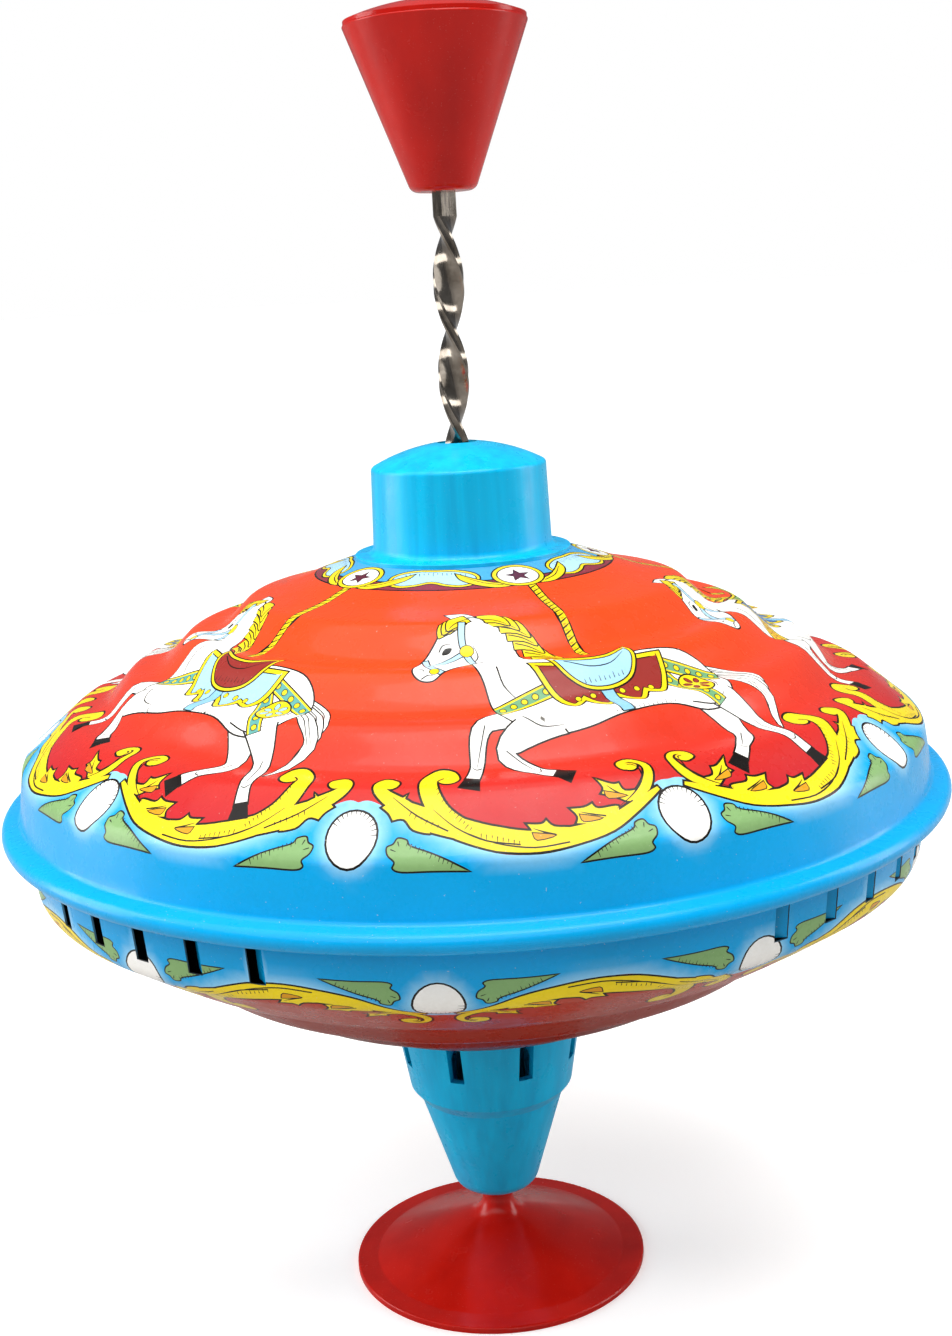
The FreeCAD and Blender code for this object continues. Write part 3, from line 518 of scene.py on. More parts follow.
def swagHalf():
    art = []
    sweep = ribbon([(2.4, 87.9), (8, 90.2), (14, 92.1), (20.5, 92.2), (27, 91), (33, 88),
                    (38, 83.6), (42, 78.6), (45.2, 73.6)], [1, 2.2, 3, 3.5, 4.1, 4.7, 4.3, 3, 1], 4)
    volute = ribbon([(8.4, 89.2), (4.8, 87.2), (2.9, 84.6), (2.9, 82), (4.4, 80.3), (6.3, 80.8),
                     (6.6, 82.4), (5.5, 83)], [1.4, 2.2, 1.9, 1.5, 1.5, 1.7, 1.8, 1.2], 4)
    nearTips = [(6, 87.6), (8.6, 87), (9, 85.4, 1), (10.4, 85.2), (12.9, 83.4, 1), (12.3, 85.6),
                (13.2, 86.6, 1), (10.8, 88), (8.6, 89.4)]
    midTips = [(11, 89.4), (14.6, 88.8), (15.2, 87.6, 1), (17, 87.9), (19.6, 87.3, 1), (18.9, 89.2),
               (19.8, 90.4, 1), (16.6, 91.4), (12.6, 91.6)]
    farTips = [(20.4, 90.7), (23.2, 89.4), (24, 87.8, 1), (25.2, 88.2), (27.7, 87.2, 1), (27.4, 89),
               (28.8, 89.8, 1), (26, 91.6), (22, 92)]
    tall = ribbon([(31, 89.6), (36.2, 85.6), (39.4, 80.6), (39.9, 76), (38.8, 72.4), (36.4, 70.9),
                   (34.6, 72), (34.8, 73.9)], [2.6, 3.8, 3.9, 3.6, 3.3, 3, 2.9, 2.2], 5)
    outer = ribbon([(38.4, 84.6), (42.4, 80), (44.9, 75.2), (46.6, 71.6), (46.7, 69.2), (45, 68.3),
                    (43.8, 69.6)], [2, 3.2, 3.3, 2.6, 2.3, 2.2, 1.6], 5)
    outerTips = [(44, 77), (44.2, 74.8), (43, 73.4, 1), (45, 73.4), (46.4, 73), (48.2, 73.2, 1),
                 (47.6, 75), (47.6, 76.6, 1), (45.8, 77.4), (45.2, 80), (42.6, 82)]
    tips = [smoothLoop(p, 4) for p in (nearTips, midTips, farTips, outerTips)]
    curls = [ellipse(35.4, 73, 2.1, 2), ellipse(44.6, 69.7, 1.6, 1.5), ellipse(5.4, 82.3, 1.6, 1.5)]
    figure(art, "gold", sweep, volute, *tips, tall, outer, *curls, line=0.42)
    marks(art, [(4.2, 83), (4.6, 85.6), (7.4, 88), (11.6, 89.9)],
          [(9, 88.2), (10.4, 86.8), (11.4, 85.4)], [(14, 90.6), (16.2, 89.6), (18, 88.6)],
          [(23.6, 91), (25.4, 89.8), (26.8, 88.6)], [(22, 93), (28, 91.8), (33.6, 88.6), (37.6, 84.4)],
          [(30, 90.4), (35, 87.4), (38.6, 83), (40.6, 78.2)],
          [(40, 83), (43.4, 78), (45.6, 72.6)], [(36, 72.4), (37.4, 73), (37.8, 75)],
          [(5.4, 81.6), (4.6, 81.9), (4.2, 83.2)], width=0.3)
    for tip in ((16.6, 89.6), (25.6, 89.9), (10.6, 86.9)):
        dark = [(tip[0] - 2, tip[1] + 1.2), (tip[0] + 1.7, tip[1] - 0.7, 1), (tip[0] + 1.5, tip[1] + 0.9)]
        figure(art, "amber", smoothLoop(dark, 3), line=0.2)
    hatch(art, (37.9, 74.4), (36, 84.6), (1, 0.5), 13, bow=0.6)
    hatch(art, (35.6, 85.6), (29.5, 90), (0.5, 1), 8)
    hatch(art, (44.4, 76.4), (40.6, 81.6), (0.8, 0.6), 6)
    return art


def addBorder(art):
    half = swagHalf()
    step = borderArt["halfStep"]
    art += half + [(ink, mirrored(loop)) for ink, loop in half]
    beyond = [(ink, turned(mirrored(loop), 2 * step)) for ink, loop in half]
    art += beyond + [(ink, mirrored(loop)) for ink, loop in beyond]
    for turn in (-step, 0, step):
        addWedgeLeaves(art, turn)
        addEgg(art, turn)


# the printed neck band: a starred medallion over each pole, and kidney-shaped panels between

def addNeckBand(art):
    for turn in (-36, 36):
        panel = [(-8.6, 23.6), (-7, 21.9), (-3.4, 21.2), (0, 21.4), (3.4, 21.2), (7, 21.9),
                 (8.6, 23.6), (8.2, 26.2), (5.8, 27.7), (2.8, 27.6), (0, 26.7), (-2.8, 27.6),
                 (-5.8, 27.7), (-8.2, 26.2)]
        loop = smoothLoop(panel, 4)
        shapes = []
        figure(shapes, "gold", loop, line=0.3)
        figure(shapes, "paleBlue", grown(loop, -0.75), line=0.22)
        hatch(shapes, (-6, 22.6), (6, 22.6), (0.3, 1.2), 14, 0.16)
        art += [(ink, turned(loop, turn)) for ink, loop in shapes]
    wing = [(3.4, 27.6), (5.6, 26.6), (8.2, 23.8), (10.4, 20.4, 1), (10.6, 23.2), (9, 26.2), (6, 28.6),
            (3, 29)]
    wing = smoothLoop(wing, 4)
    figure(art, "gold", wing, mirrored(wing), line=0.3)
    marks(art, [(4.2, 28.2), (7.2, 26.2), (9.6, 22.6)], [(-4.2, 28.2), (-7.2, 26.2), (-9.6, 22.6)], width=0.22)
    figure(art, "gold", ellipse(0, 25.4, 5, 4.2), line=0.3)
    figure(art, "white", ellipse(0, 25.4, 4, 3.3), line=0.26)
    star = [Vector((size * math.sin(i * math.pi / 5), 25.5 - size * 0.92 * math.cos(i * math.pi / 5)))
            for i, size in enumerate([2.5, 1.05] * 5)]
    figure(art, "plum", star, line=0.16)


def addPole(art):
    figure(art, "gold", ribbon([(0.9, 29.2), (0.7, 38), (0.1, 54)], [1.7, 1.7, 1.7]), line=0.3)
    y = 30.2
    while y < 53.5:
        x = 0.9 - (y - 29.2) * 0.032
        marks(art, [(x - 0.85, y + 0.5), (x, y), (x + 0.85, y - 0.55)], width=0.3)
        marks(art, [(x - 0.5, y + 1), (x + 0.2, y + 0.75)], width=0.28, ink="amber")
        y += 1.35


horse = {  # a plain carousel horse facing left, in mm on the flat disc
    "legs": [  # joints from the body to the hoof, far legs first
        [(-14.5, 66), (-25, 65.6), (-29.6, 72.2), (-32, 75.4)],
        [(17.5, 68), (21.4, 76), (18.4, 81), (16.2, 84)],
        [(-13, 68), (-23.6, 71.4), (-20.4, 77.6), (-17.8, 79.9)],
        [(18.5, 65.5), (26.4, 72.6), (30.2, 79), (32.6, 82.2)]],
    "legWidths": [8.6, 3.6, 2.4, 2.8],
    "body": [(-10.4, 50.6), (-4, 54.8), (4, 55.8), (12, 54.6), (19, 54.6), (24, 58), (25, 63.6),
             (22.4, 69), (16.6, 71.2), (9, 69.8), (0, 70.6), (-8, 72), (-15.4, 71.4), (-20.2, 67),
             (-21.2, 61), (-20.4, 55), (-20, 49.4), (-18, 44), (-13.2, 41), (-10.6, 45)],
    "head": [(-13.4, 40.6), (-15.2, 37.4), (-19.4, 37.6), (-23.8, 40.8), (-28.4, 44.2), (-30.4, 46.8),
             (-30.2, 49.4), (-28.2, 50.8), (-25.6, 50), (-22.6, 49.6), (-19.6, 49), (-16, 47.6)],
    "ear": [(-17.4, 38.6), (-18.6, 34.2, 1), (-15.2, 35.6), (-14.2, 38.6)],
    "blanket": [(-11.4, 53.6, 1), (-10.2, 61.4), (-7.4, 65.6), (-4.6, 64.4, 1), (-1.4, 67.6), (2, 65, 1),
                (5.4, 67.4), (8.2, 64.2, 1), (11.4, 64.6), (13.8, 60.6), (14.4, 55, 1), (5, 56.4),
                (-3.6, 56)],
    "saddle": [(-7.6, 52.8, 1), (-2.4, 55), (3.6, 55), (8.8, 51.6, 1), (9, 56), (6.6, 60.6), (1.8, 62.6),
               (-3.2, 61.8), (-6.4, 58)]}


def addLeg(art, joints, widths):
    figure(art, "white", ribbon(joints, widths, 6))
    a, b = Vector(joints[-2]), Vector(joints[-1])
    ahead = (b - a).normalized()
    side = Vector((-ahead.y, ahead.x))
    hoof = [b - ahead * 0.5 - side * 1.2, b + ahead * 2.7 - side * 1.9, b + ahead * 2.7 + side * 1.9,
            b - ahead * 0.5 + side * 1.2]
    figure(art, "hoof", hoof, line=0.2)
    marks(art, [a - side * 0.9, a + ahead * 0.5, a + side * 0.9], width=0.24)
    marks(art, [joints[1], a], width=0.22)


def addStuds(art, start, end, count, size):
    for i in range(count):
        x, y = Vector(start).lerp(Vector(end), (i + 0.5) / count)
        figure(art, "gold", ellipse(x, y, size, size, 0, 10), line=0.16)


def addLocks(art, line, dx, dy):
    # overlapping curled locks along a line, each with a combed strand
    for x, y in reversed(smoothLoop(line, 2, closed=False)):
        lock = [(x, y), (x + dx * 0.6, y + dy * 0.25), (x + dx, y + dy)]
        figure(art, "gold", ribbon(lock, [2.9, 3, 0.3], 4), line=0.26)
        marks(art, [(x + 0.4, y + 0.2), (x + dx * 0.55, y + dy * 0.4), (x + dx * 0.9, y + dy * 0.85)], width=0.24)


def addHorse(art):
    for i, bend in enumerate((7.6, 10.4, 13)):
        tail = [(23, 58.6 + i), (28, 59.4 + i * 1.6), (32 + i * 0.4, 62.4 + i * 2),
                (32.6 - i, 56.6 + bend + i * 3)]
        figure(art, "white", ribbon(tail, [2.2, 3, 2.6, 0.2], 4), line=0.26)
        marks(art, *[[(p[0], p[1] + shift) for p in tail[:3]] for shift in (-0.5, 0.4)], width=0.22)
    for joints in horse["legs"][:2]:
        addLeg(art, joints, horse["legWidths"])
    body = smoothLoop(horse["body"])
    figure(art, "white", body)
    for joints in horse["legs"][2:]:
        addLeg(art, joints, horse["legWidths"])
    art.append(("white", grown(body, -0.9)))
    marks(art, [(14, 69.6), (19, 69.8), (22, 67)], [(-18, 66), (-16, 69.4), (-12, 70.4)],
          [(-16.8, 52.6), (-17.4, 57), (-16, 61)], [(21, 59.4), (22.4, 62.6), (21.6, 65.6)])
    hatch(art, (-2, 70.2), (11, 69.4), (0.2, -1), 14, 0.16)
    # straps, blanket and saddle
    for start, end in (((-9.6, 60.4), (-21, 62.2)), ((13.2, 58), (24.6, 60.6)), ((13.2, 60.6), (20.6, 69.4))):
        figure(art, "gold", ribbon([start, end], [2.9, 2.9]), line=0.26)
        figure(art, "under", ribbon([start, end], [1.9, 1.9]), line=0)
        addStuds(art, start, end, 5, 0.62)
    blanket = smoothLoop(horse["blanket"], 5)
    figure(art, "gold", blanket)
    figure(art, "drape", grown(blanket, -1.1), line=0.22)
    addStuds(art, (-7.2, 63.6), (10.8, 63), 6, 0.6)
    figure(art, "girth", ribbon([(0.4, 61), (0.8, 70.2)], [2.6, 2.4]), line=0.26)
    saddle = smoothLoop(horse["saddle"], 5)
    figure(art, "gold", saddle)
    figure(art, "saddle", grown(saddle, -0.8), line=0.24)
    marks(art, [(-5, 55.4), (-1, 57.6), (3.4, 57.4), (7, 54.8)], width=0.24)
    hatch(art, (-3.4, 60.8), (5.4, 60), (0, -1.2), 9, 0.18, -0.3)
    x, y = 18.6, 63.2             # middle of the flower on the strap
    figure(art, "gold", ellipse(x, y, 3.2, 3.2), line=0.3)
    for turn in range(0, 360, 60):
        t = math.radians(turn)
        figure(art, "drape", ellipse(x + 1.7 * math.cos(t), y + 1.7 * math.sin(t), 0.9, 0.55, turn, 10), line=0.14)
    # mane, head and bridle
    addLocks(art, [(-14.2, 38.8), (-11.6, 42.2), (-10.6, 46.2), (-9, 50.4)], 4.6, 3.8)
    figure(art, "white", smoothLoop(horse["ear"], 4), line=0.28)
    figure(art, "white", smoothLoop(horse["head"]))
    neck = [(-12.4, 42), (-15.4, 39.4), (-18, 42.4), (-18.2, 47.6), (-14, 49.8), (-11.4, 47)]
    art.append(("white", smoothLoop(neck, 4)))
    marks(art, [(-19.6, 48.4), (-17.6, 46.6), (-17.4, 44)], width=0.26)
    addLocks(art, [(-15.6, 37.6), (-17.6, 38.2)], -4.6, 1.6)
    for strap, widths in (([(-17, 38.4), (-19, 43), (-19.4, 48.6)], [1.3, 1.2, 1.2]),
                          ([(-26.4, 43), (-27, 46.6), (-26, 50)], [1.2, 1.2, 1.2]),
                          ([(-18.9, 44.6), (-26.8, 46.2)], [1.1, 1.1])):
        figure(art, "paleBlue", ribbon(strap, widths), line=0.24)
    addStuds(art, (-18.9, 44.6), (-18.9, 44.6), 1, 1.3)
    addStuds(art, (-27, 48.8), (-27, 48.8), 1, 0.9)
    figure(art, "line", smoothLoop([(-23.2, 43.2), (-22.2, 42.3), (-21, 42.8), (-22, 43.6)], 3), line=0)
    marks(art, [(-23.4, 42.4), (-22.2, 41.5), (-20.8, 41.9)], [(-29.4, 46.8), (-28.6, 47.2), (-28.6, 48)],
          [(-29.8, 49.4), (-28.4, 49.2), (-27.6, 49.8)], width=0.26)


# inks, as printed

inks = {"line": "1A1410", "white": "FBFAF5", "gold": "F4D81C", "amber": "DD9A1B", "leaf": "86AE70",
        "girth": "8FC7E8", "paleBlue": "B5DFF6", "plum": "5E2436",
        "hoof": "15100E", "band": "00A6E6", "neckBand": "4FA6D8", "plumBand": "8E3340"}
horseInks = [  # the saddle, the drapes and the trappings change from horse to horse
    {"saddle": "A9DAF5", "drape": "96302A", "under": "6FA77A"},
    {"saddle": "8FB86C", "drape": "2F6FB4", "under": "E0A23A"},
    {"saddle": "96302A", "drape": "A9DAF5", "under": "5FA7A0"}]
horseInks += horseInks[1:]        # the last two horses repeat the second and third
# the dish field is printed red with painted shade over it: its red darkens to brown towards the hub, the part of the
# underside deepest under the top
field = {"dome": ("F24A1C", "C02028", 56.0, 92.0), "dish": ("6E2018", "B8402A", 40.0, 84.0),   # two reds, from and to
         "halo": "A6DCF8", "haloWidth": 2.6}
edition = {"wedges": 5, "step": 1.5, "upperTurn": 22.6, "lowerTurn": -5.0, "upperFrom": 19.0, "upperTo": 100.8,
           "lowerFrom": 24.0, "lowerTo": 120.0, "lowerMeet": 82.5, "lowerSquash": 0.72, "artMeet": 87.0,
           "ringStep": 1.8, "ringTurn": 8.5}
half = math.radians(180 / edition["wedges"])



def arc(radius, turns):
    return [Vector((radius * math.sin(t), radius * math.cos(t))) for t in turns]


# edge of the blue band, from one egg to the next
scallop = smoothLoop([(0.0, 86.7), (3.0, 87.0), (10.0, 91.0), (22.0, 94.0), (33.0, 91.0), (40.0, 84.5), (46.0, 76.0),
                      (49.0, 71.2), *arc(86.7, [half])], 5, closed=False)
scallopTurns = np.array([math.atan2(p.x, p.y) for p in scallop])
scallopRho = np.array([p.length for p in scallop])


def scallopAt(turn):
    return np.interp(np.abs(turn), scallopTurns, scallopRho)


def sector(inner, outer, reach=38.0):
    turns = np.radians(np.linspace(-reach, reach, 61))
    return arc(inner, turns) + arc(outer, turns[::-1])


def bandLoop(outer):
    right = scallop + turned(mirrored(scallop[-6:-1]), 72)[::-1]      # a little past the egg
    line = mirrored(right[1:])[::-1] + right
    last, first = math.atan2(line[-1].x, line[-1].y), math.atan2(line[0].x, line[0].y)
    return line + arc(outer, np.linspace(last, first, 61))


def upperArt():
    art = [("neckBand", sector(18.0, 26.3)), ("plumBand", sector(26.3, 29.2)),
           ("line", sector(26.1, 26.5)), ("line", sector(29.0, 29.35)), ("band", bandLoop(edition["upperTo"] + 2))]
    addBorder(art)
    addPole(art)
    addNeckBand(art)
    addHorse(art)
    return art


# splitting the flat disc into triangles along every ink edge

def ringPlaces(outline, first, last):
    out = [first]
    turn = np.unwrap(np.arctan2(outline.tz, outline.tr))
    while out[-1] < last - 1e-6:
        here = out[-1]
        step = edition["ringStep"]
        while step > 0.3:
            bend = abs(np.interp(here + step, outline.s, turn) - np.interp(here, outline.s, turn))
            if math.degrees(bend) <= edition["ringTurn"]:
                break
            step *= 0.8
        out.append(min(last, here + step))
    if out[-1] - out[-2] < 0.25 and len(out) > 2:
        out.pop(-2)
    return out


def inside(loop, x, y):
    # which of the points a loop winds round
    edges = np.array([(a.x, a.y, b.x, b.y) for a, b in zip(loop, loop[1:] + loop[:1])])
    found = np.zeros(len(x), bool)
    near = np.flatnonzero((x > edges[:, 0].min()) & (x < edges[:, 0].max())
                          & (y > edges[:, 1].min()) & (y < edges[:, 1].max()))
    px, py = x[near, None], y[near, None]
    ax, ay, bx, by = edges.T
    left = (bx - ax) * (py - ay) - (px - ax) * (by - ay)
    winding = ((ay <= py) & (by > py) & (left > 0)).sum(1) - ((by <= py) & (ay > py) & (left < 0)).sum(1)
    found[near[winding != 0]] = True
    return found


def splitWedge(art, rings):
    # one wedge of the disc in triangles: path lengths, turns, triangles, and the topmost figure over each
    steps = round(math.degrees(2 * half) / edition["step"])
    turns = [-half + 2 * half * i / steps for i in range(steps + 1)]
    spot = lambda s, t: Vector((s * math.sin(t), s * math.cos(t)))
    rim = [spot(rings[0], t) for t in turns] + [spot(s, turns[-1]) for s in rings[1:]]
    rim += [spot(rings[-1], t) for t in turns[-2::-1]] + [spot(s, turns[0]) for s in rings[-2:0:-1]]
    points, edges = [], []
    for loop in [rim] + [loop for _, loop in art]:
        first = len(points)
        points += loop
        edges += [(first + i, first + (i + 1) % len(loop)) for i in range(len(loop))]
    points += [spot(s, t) for s in rings[1:-1] for t in turns[1:-1]]
    flat, _, triangles, _, _, _ = delaunay_2d_cdt(points, edges, [], 0, 1e-5, False)
    flat, triangles = np.array([(p.x, p.y) for p in flat]), np.array(triangles)
    x, y = flat[triangles].mean(1).T
    kept = inside(rim, x, y)
    triangles, x, y = triangles[kept], x[kept], y[kept]
    paint = np.full(len(triangles), -1)
    for i, (_, loop) in enumerate(art):
        paint[inside(loop, x, y)] = i
    return np.hypot(flat[:, 0], flat[:, 1]), np.arctan2(flat[:, 0], flat[:, 1]), triangles, paint


def flatTree(xs, ys):
    tree = KDTree(len(xs))
    for i, (x, y) in enumerate(zip(xs, ys)):
        tree.insert((x, y, 0), i)
    tree.balance()
    return tree


def mergeClose(x, y, reach):
    tree = flatTree(x, y)
    same = np.arange(len(x))
    for i, spot in enumerate(zip(x, y)):
        near = min(k for _, k, _ in tree.find_range((*spot, 0), reach))
        if near < i:
            same[i] = same[near]
    return same


class Skin:
    # one side of a pressed sheet, gathered in its flat disc: path lengths, turns, triangles and corner colours

    def __init__(self, firstTurn):
        self.s, self.turn, self.triangles, self.colours = [], [], [], []
        self.firstTurn = firstTurn
        self.count = 0

    def add(self, s, turn, triangles, colours):
        self.s.append(s)
        self.turn.append(turn)
        self.triangles.append(np.asarray(triangles) + self.count)
        self.colours.append(colours)
        self.count += len(s)

    def addRings(self, rings, colourAt):
        steps = round(360 / edition["step"])
        turns = self.firstTurn + np.radians(np.arange(steps) * edition["step"])
        s, t = [grid.ravel() for grid in np.meshgrid(rings, turns, indexing="ij")]
        i, j = [grid.ravel() for grid in np.meshgrid(np.arange(len(rings) - 1), np.arange(steps), indexing="ij")]
        a, b = i * steps + j, i * steps + (j + 1) % steps
        triangles = np.concatenate([np.stack([a, b, b + steps], 1), np.stack([a, b + steps, a + steps], 1)])
        self.add(s, t, triangles, colourAt(s, t)[triangles])

    def joined(self):
        s, turn = np.concatenate(self.s), np.concatenate(self.turn)
        triangles, colours = np.concatenate(self.triangles), np.concatenate(self.colours)
        same = mergeClose(s * np.sin(turn), s * np.cos(turn), 0.003)
        triangles = same[triangles]
        a, b, c = triangles.T
        whole = (a != b) & (b != c) & (c != a)
        triangles, colours = triangles[whole], colours[whole]
        ids, back = np.unique(triangles, return_inverse=True)
        s, turn, triangles = s[ids], turn[ids], back.reshape(-1, 3)
        x, y = s * np.sin(turn), s * np.cos(turn)
        a, b, c = triangles.T
        flipped = (x[b] - x[a]) * (y[c] - y[a]) - (x[c] - x[a]) * (y[b] - y[a]) < 0
        triangles[flipped] = triangles[flipped][:, ::-1]
        colours[flipped] = colours[flipped][:, ::-1]
        return s, turn, triangles, colours


def cornerColours(paint, art, palette, triangles, fieldAt, bandAt):
    out = fieldAt[triangles]
    for i, owner in enumerate(paint):
        if owner >= 0:
            kind = art[owner][0]
            out[i] = bandAt[triangles[i]] if kind == "band" else linear(palette[kind])
    return out


def mixed(first, second, amount):
    amount = np.clip(amount, 0, 1)[..., None]
    return np.array(linear(first)) * (1 - amount) + np.array(linear(second)) * amount


def bandColour(rho, turn):
    # plain blue, paling to a halo beside the scallop and round every egg; turn is counted from a wedge's middle
    local = (turn + half) % (2 * half) - half
    gap = (rho - scallopAt(local)) * 0.8
    for centre in (-half, 0.0, half):
        x, y = rho * np.sin(local - centre), rho * np.cos(local - centre) - borderArt["eggMiddle"]
        gap = np.minimum(gap, (np.hypot(x / borderArt["eggSize"][0], y / borderArt["eggSize"][1]) - 1) * 4.6)
    halo = np.clip(1 - gap / field["haloWidth"], 0, 1) ** 1.4
    return mixed(inks["band"], field["halo"], halo * 0.8)


def printedTin():
    # opaque inks under a clear stoving varnish: even colours with a glassy gloss, thin scratches and paled specks
    material, tree, body, place = newMaterial("lithographed tinplate, stove varnished", IOR=1.5)
    body.inputs["Coat Weight"].default_value = 0.12
    body.inputs["Coat Roughness"].default_value = 0.07
    body.inputs["Specular IOR Level"].default_value = 0.15
    ink = addNode(tree, "ShaderNodeAttribute", attribute_name="ink").outputs["Color"]
    cloud = noise(tree, place, 45, 4, 0.6)
    aged = blendColour(tree, ramp(tree, cloud, 0.4, 0.75, 0.0, 0.16), ink, linear("C9B79A"), "MULTIPLY")
    dots = noise(tree, place, 1500, 2, 0.6)
    aged = blendColour(tree, ramp(tree, dots, 0.3, 0.7, 0.0, 0.14), aged, linear("D8D2C8"), "MULTIPLY")
    specks = noise(tree, place, 2400, 1)
    aged = blendColour(tree, ramp(tree, specks, 0.77, 0.79, 0.0, 0.4), aged, linear("D9D4CC"))
    tree.links.new(aged, body.inputs["Base Color"])
    roughen(tree, body, noise(tree, place, 190, 4, 0.6), 0.3, 0.7, 0.2, 0.38)
    skin = bump(tree, body, noise(tree, place, 420, 2), 0.00003, 0.35)
    lines = noise(tree, stretched(tree, place, (3400, 160, 700)), 1.0, 2)
    bump(tree, body, ramp(tree, lines, 0.66, 0.72), 0.00001, 0.5, skin)
    return material


def lacqueredTin():
    # the unprinted side and the cut edges: bare tinplate under thin clear lacquer, greyish and softly bright
    material, tree, body, place = newMaterial("bare tinplate, clear lacquered", Metallic=0.85)
    tone = noise(tree, place, 120, 5, 0.65)
    tint(tree, body, ramp(tree, tone, 0.3, 0.7), "A8A6A0", "7E7A72")
    roughen(tree, body, tone, 0.3, 0.7, 0.3, 0.5)
    bump(tree, body, noise(tree, stretched(tree, place, (1800, 1800, 90)), 1.0, 2), 0.00001, 0.4)
    return material


tinFront, tinBack = printedTin(), lacqueredTin()
bareInk = linear("A8A6A0")


def placed(outline, s, turn, inwards, side):
    # points and outward normals; side is +1 where the outer face is above the path, -1 where it is below
    r, z = outline.at(s)
    nr = -side * np.interp(s, outline.s, outline.tz)
    nz = side * np.interp(s, outline.s, outline.tr)
    size = np.hypot(nr, nz)
    nr, nz = nr / size, nz / size
    r, z = r - nr * inwards, z - nz * inwards
    return (np.stack([r * np.sin(turn), -r * np.cos(turn), z], 1),
            np.stack([nr * np.sin(turn), -nr * np.cos(turn), nz], 1))


def flatNormal(corners):
    across = np.cross(corners[1] - corners[0], corners[-1] - corners[0])
    return across / max(np.linalg.norm(across), 1e-12)


class Sheet:
    # a closed mesh gathered from skins and single flat faces, with its corner normals, colours and finishes

    def __init__(self):
        self.points, self.faces, self.normals, self.colours, self.finish = [], [], [], [], []
        self.count = 0

    def addPoints(self, points):
        self.points.append(points)
        self.count += len(points)
        return self.count - len(points)

    def addSkin(self, start, triangles, normals, colours, finish):
        self.faces += (triangles + start).tolist()
        self.normals.append(normals[triangles].reshape(-1, 3))
        self.colours.append(colours.reshape(-1, 4))
        self.finish += [finish] * len(triangles)

    def addFace(self, face, corners, colour, finish):
        self.faces.append(face)
        self.normals.append(np.tile(flatNormal(corners), (len(face), 1)))
        self.colours.append(np.tile(colour, (len(face), 1)))
        self.finish.append(finish)

    def built(self, name):
        mesh = bpy.data.meshes.new(name)
        mesh.from_pydata((np.concatenate(self.points) * mm).tolist(), [], self.faces)
        mesh.materials.append(tinFront)
        mesh.materials.append(tinBack)
        mesh.polygons.foreach_set("material_index", self.finish)
        layer = mesh.color_attributes.new("ink", "FLOAT_COLOR", "CORNER")
        layer.data.foreach_set("color", np.concatenate(self.colours).astype(np.float32).ravel())
        mesh.polygons.foreach_set("use_smooth", [True] * len(self.faces))
        mesh.update()
        mesh.normals_split_custom_set(np.concatenate(self.normals).tolist())
        piece = bpy.data.objects.new(name, mesh)
        bpy.context.scene.collection.objects.link(piece)
        return piece


def closeSheet(outline, front, back, side):
    # front and back are skins in the flat disc, alike along every open edge; the walls between are added here
    sheet = Sheet()
    s, turn, triangles, colours = front
    points, normals = placed(outline, s, turn, 0.0, side)
    if side > 0:
        triangles, colours = triangles[:, ::-1], colours[:, ::-1]
    start = sheet.addPoints(points)
    sheet.addSkin(start, triangles, normals, colours, 0)
    bs, bt, backTriangles, backColours = back
    backPoints, backNormals = placed(outline, bs, bt, shells["tin"], side)
    if side < 0:
        backTriangles, backColours = backTriangles[:, ::-1], backColours[:, ::-1]
    under = sheet.addPoints(backPoints)
    sheet.addSkin(under, backTriangles, -backNormals, backColours, 1)
    tree = flatTree(bs * np.sin(bt), bs * np.cos(bt))
    partner = lambda i: tree.find((s[i] * math.sin(turn[i]), s[i] * math.cos(turn[i]), 0))[1]
    edges = {(int(a), int(b)) for t in triangles for a, b in ((t[0], t[1]), (t[1], t[2]), (t[2], t[0]))}
    for a, b in [e for e in edges if (e[1], e[0]) not in edges]:
        pa, pb = partner(a), partner(b)
        corners = [points[b], points[a], backPoints[pa], backPoints[pb]]
        sheet.addFace([start + b, start + a, under + pa, under + pb], corners, bareInk, 1)
    return sheet


def fieldColour(rho, part):
    near, far, first, last = field[part]
    return mixed(near, far, (rho - first) / (last - first))


def plainInk(colour):
    return lambda s, turn: np.tile(colour, (len(s), 1))


def upperShell():
    outline, art = upperOutline, upperArt()
    rings = ringPlaces(outline, edition["upperFrom"], edition["upperTo"])
    s, turn, triangles, paint = splitWedge(art, rings)
    print("upper wedge:", len(rings), "rings,", len(triangles), "triangles")
    middle = math.radians(edition["upperTurn"])
    skin = Skin(middle - half)
    for k in range(edition["wedges"]):
        colours = cornerColours(paint, art, {**inks, **horseInks[k]}, triangles, fieldColour(s, "dome"),
                                bandColour(s, turn))
        skin.add(s, turn + middle + 2 * half * k, triangles, colours)
    first, last = float(outline.s[0]), float(outline.s[-1])
    skin.addRings(ringPlaces(outline, first, edition["upperFrom"]), plainInk(linear(inks["neckBand"])))
    skin.addRings(ringPlaces(outline, edition["upperTo"], last), lambda s, t: bandColour(s, t - middle))
    back = Skin(middle - half)
    places = ringPlaces(outline, first, last)
    back.addRings(places[:-1:3] + [last], plainInk(bareInk))
    return closeSheet(outline, skin.joined(), back.joined(), 1).built("upperShell")


louvres = {"groups": 4, "each": 5, "pitch": 8.0, "firstGroup": -40.5, "width": 3.0, "height": 7.8, "drop": 11.4,
           "angle": 38.0, "endGap": 0.15}


def louvreTurns():
    middle = (louvres["each"] - 1) / 2
    return [louvres["firstGroup"] + 360 / louvres["groups"] * g + (i - middle) * louvres["pitch"]
            for g in range(louvres["groups"]) for i in range(louvres["each"])]


def onWall(outline, height):
    # path length at a height of the side wall
    wall = (outline.r > shells["dishEdge"][0]) & (outline.z < shells["wallTop"][1] - 0.5) & (outline.tz > 0.6)
    return float(np.interp(height, outline.z[wall], outline.s[wall]))


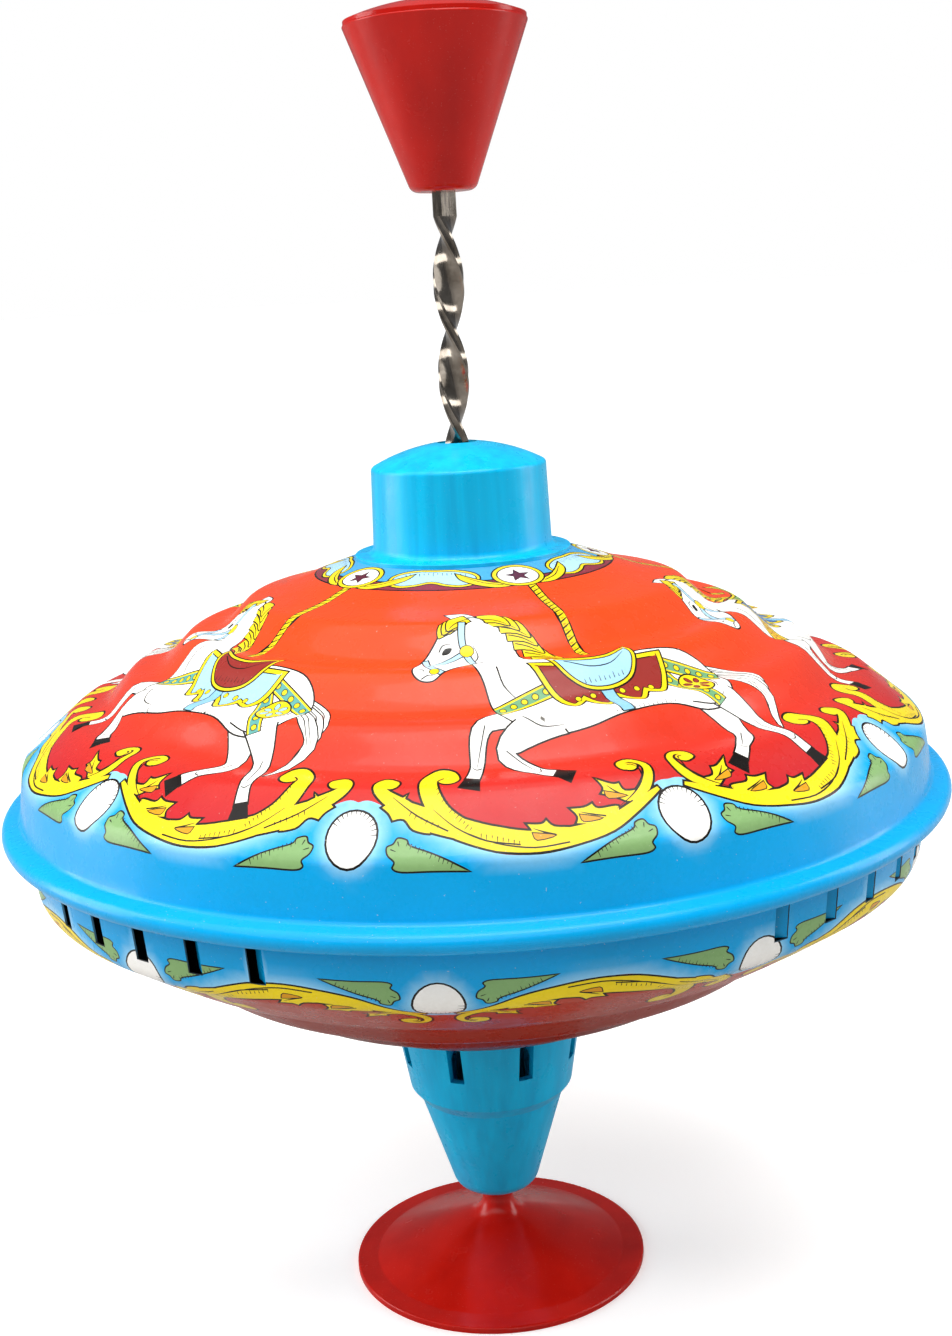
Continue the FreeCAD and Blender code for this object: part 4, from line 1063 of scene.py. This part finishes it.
def lowerShell():
    outline = lowerOutline
    meet = float(np.interp(edition["lowerMeet"], outline.r, outline.s))
    squash, drawn = edition["lowerSquash"], edition["artMeet"]     # the drawing is squashed up the wall
    toPath = lambda rho: meet + (rho - drawn) * (squash if rho > drawn else 1)
    toRho = lambda s: drawn + np.where(s > meet, (s - meet) / squash, s - meet)
    art = [("band", bandLoop(edition["lowerTo"]))]
    addBorder(art)
    art = [(ink, [p.normalized() * toPath(p.length) for p in loop]) for ink, loop in art]
    low = shells["crease"][1] - louvres["drop"]
    ends = onWall(outline, low), onWall(outline, low + louvres["height"])
    reach = math.asin(louvres["width"] / 2 / shells["wallTop"][0])
    last = onWall(outline, shells["wallTop"][1] - 1.2)
    rings = ringPlaces(outline, edition["lowerFrom"], last)
    skin = Skin(math.radians(edition["lowerTurn"]) - half)
    for k in range(edition["wedges"]):
        middle = math.radians(edition["lowerTurn"]) + 2 * half * k
        slots = []
        for turn in louvreTurns():
            local = (math.radians(turn) - middle + math.pi) % (2 * math.pi) - math.pi
            if abs(local) < half + 0.05:
                sides = [local - reach, local + reach]
                slots.append(("slot", arc(ends[0], sides) + arc(ends[1], sides[::-1])))
        whole = art + slots
        s, turn, triangles, paint = splitWedge(whole, rings)
        triangles, paint = triangles[paint < len(art)], paint[paint < len(art)]
        rho = toRho(s)
        # the dish field's corner colours carry painted shade, darker towards the hub
        skin.add(s, turn + middle, triangles, cornerColours(paint, whole, inks, triangles, fieldColour(rho, "dish"),
                                                            bandColour(rho, turn)))
    print("lower wedge:", len(rings), "rings,", len(triangles), "triangles")
    # the rings round the hub get the darkest red of the dish, painted shade
    skin.addRings(ringPlaces(outline, float(outline.s[0]), edition["lowerFrom"]), plainInk(linear(field["dish"][0])))
    skin.addRings(ringPlaces(outline, last, float(outline.s[-1])), plainInk(linear(inks["band"])))
    front = skin.joined()
    back = (*front[:3], np.tile(bareInk, (len(front[2]), 3, 1)))
    sheet = closeSheet(outline, front, back, -1)
    for turn in louvreTurns():
        addFlap(sheet, outline, turn, low)
    return sheet.built("lowerShell")


def addFlap(sheet, outline, turn, low):
    # a louvre's flap, bent inwards about the edge of its slot on the side of growing turn
    tin, lean = shells["tin"], math.radians(louvres["angle"])
    t = math.radians(turn)
    out, along = np.array([math.sin(t), -math.cos(t)]), np.array([math.cos(t), math.sin(t)])
    away = -math.cos(lean) * along - math.sin(lean) * out
    face = math.cos(lean) * out - math.sin(lean) * along
    heights = low + louvres["endGap"], low + louvres["height"] - louvres["endGap"]
    points = []
    for height in heights:
        wall = float(np.interp(onWall(outline, height), outline.s, outline.r))
        root = out * (math.sqrt(wall ** 2 - (louvres["width"] / 2) ** 2) - tin / 3) + along * louvres["width"] / 2
        for run in (0.1, louvres["width"]):
            for depth in (0.0, tin):
                spot = root + away * run - face * depth
                points.append((*spot, height))
    points = np.array(points)
    start = sheet.addPoints(points)
    # corners: 0 root front, 1 root back, 2 tip front, 3 tip back, and the same four above
    for face in ((0, 4, 6, 2), (1, 3, 7, 5), (2, 6, 7, 3), (0, 1, 5, 4), (0, 2, 3, 1), (4, 5, 7, 6)):
        printed = face == (0, 4, 6, 2)
        sheet.addFace([start + i for i in face], points[list(face)], linear(inks["band"]) if printed else bareInk,
                      0 if printed else 1)


for piece, node in ((upperShell(), "upper_shell"), (lowerShell(), "lower_shell")):
    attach(piece, "top_body")
    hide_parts(node)
    print(piece.name, len(piece.data.polygons), "faces")
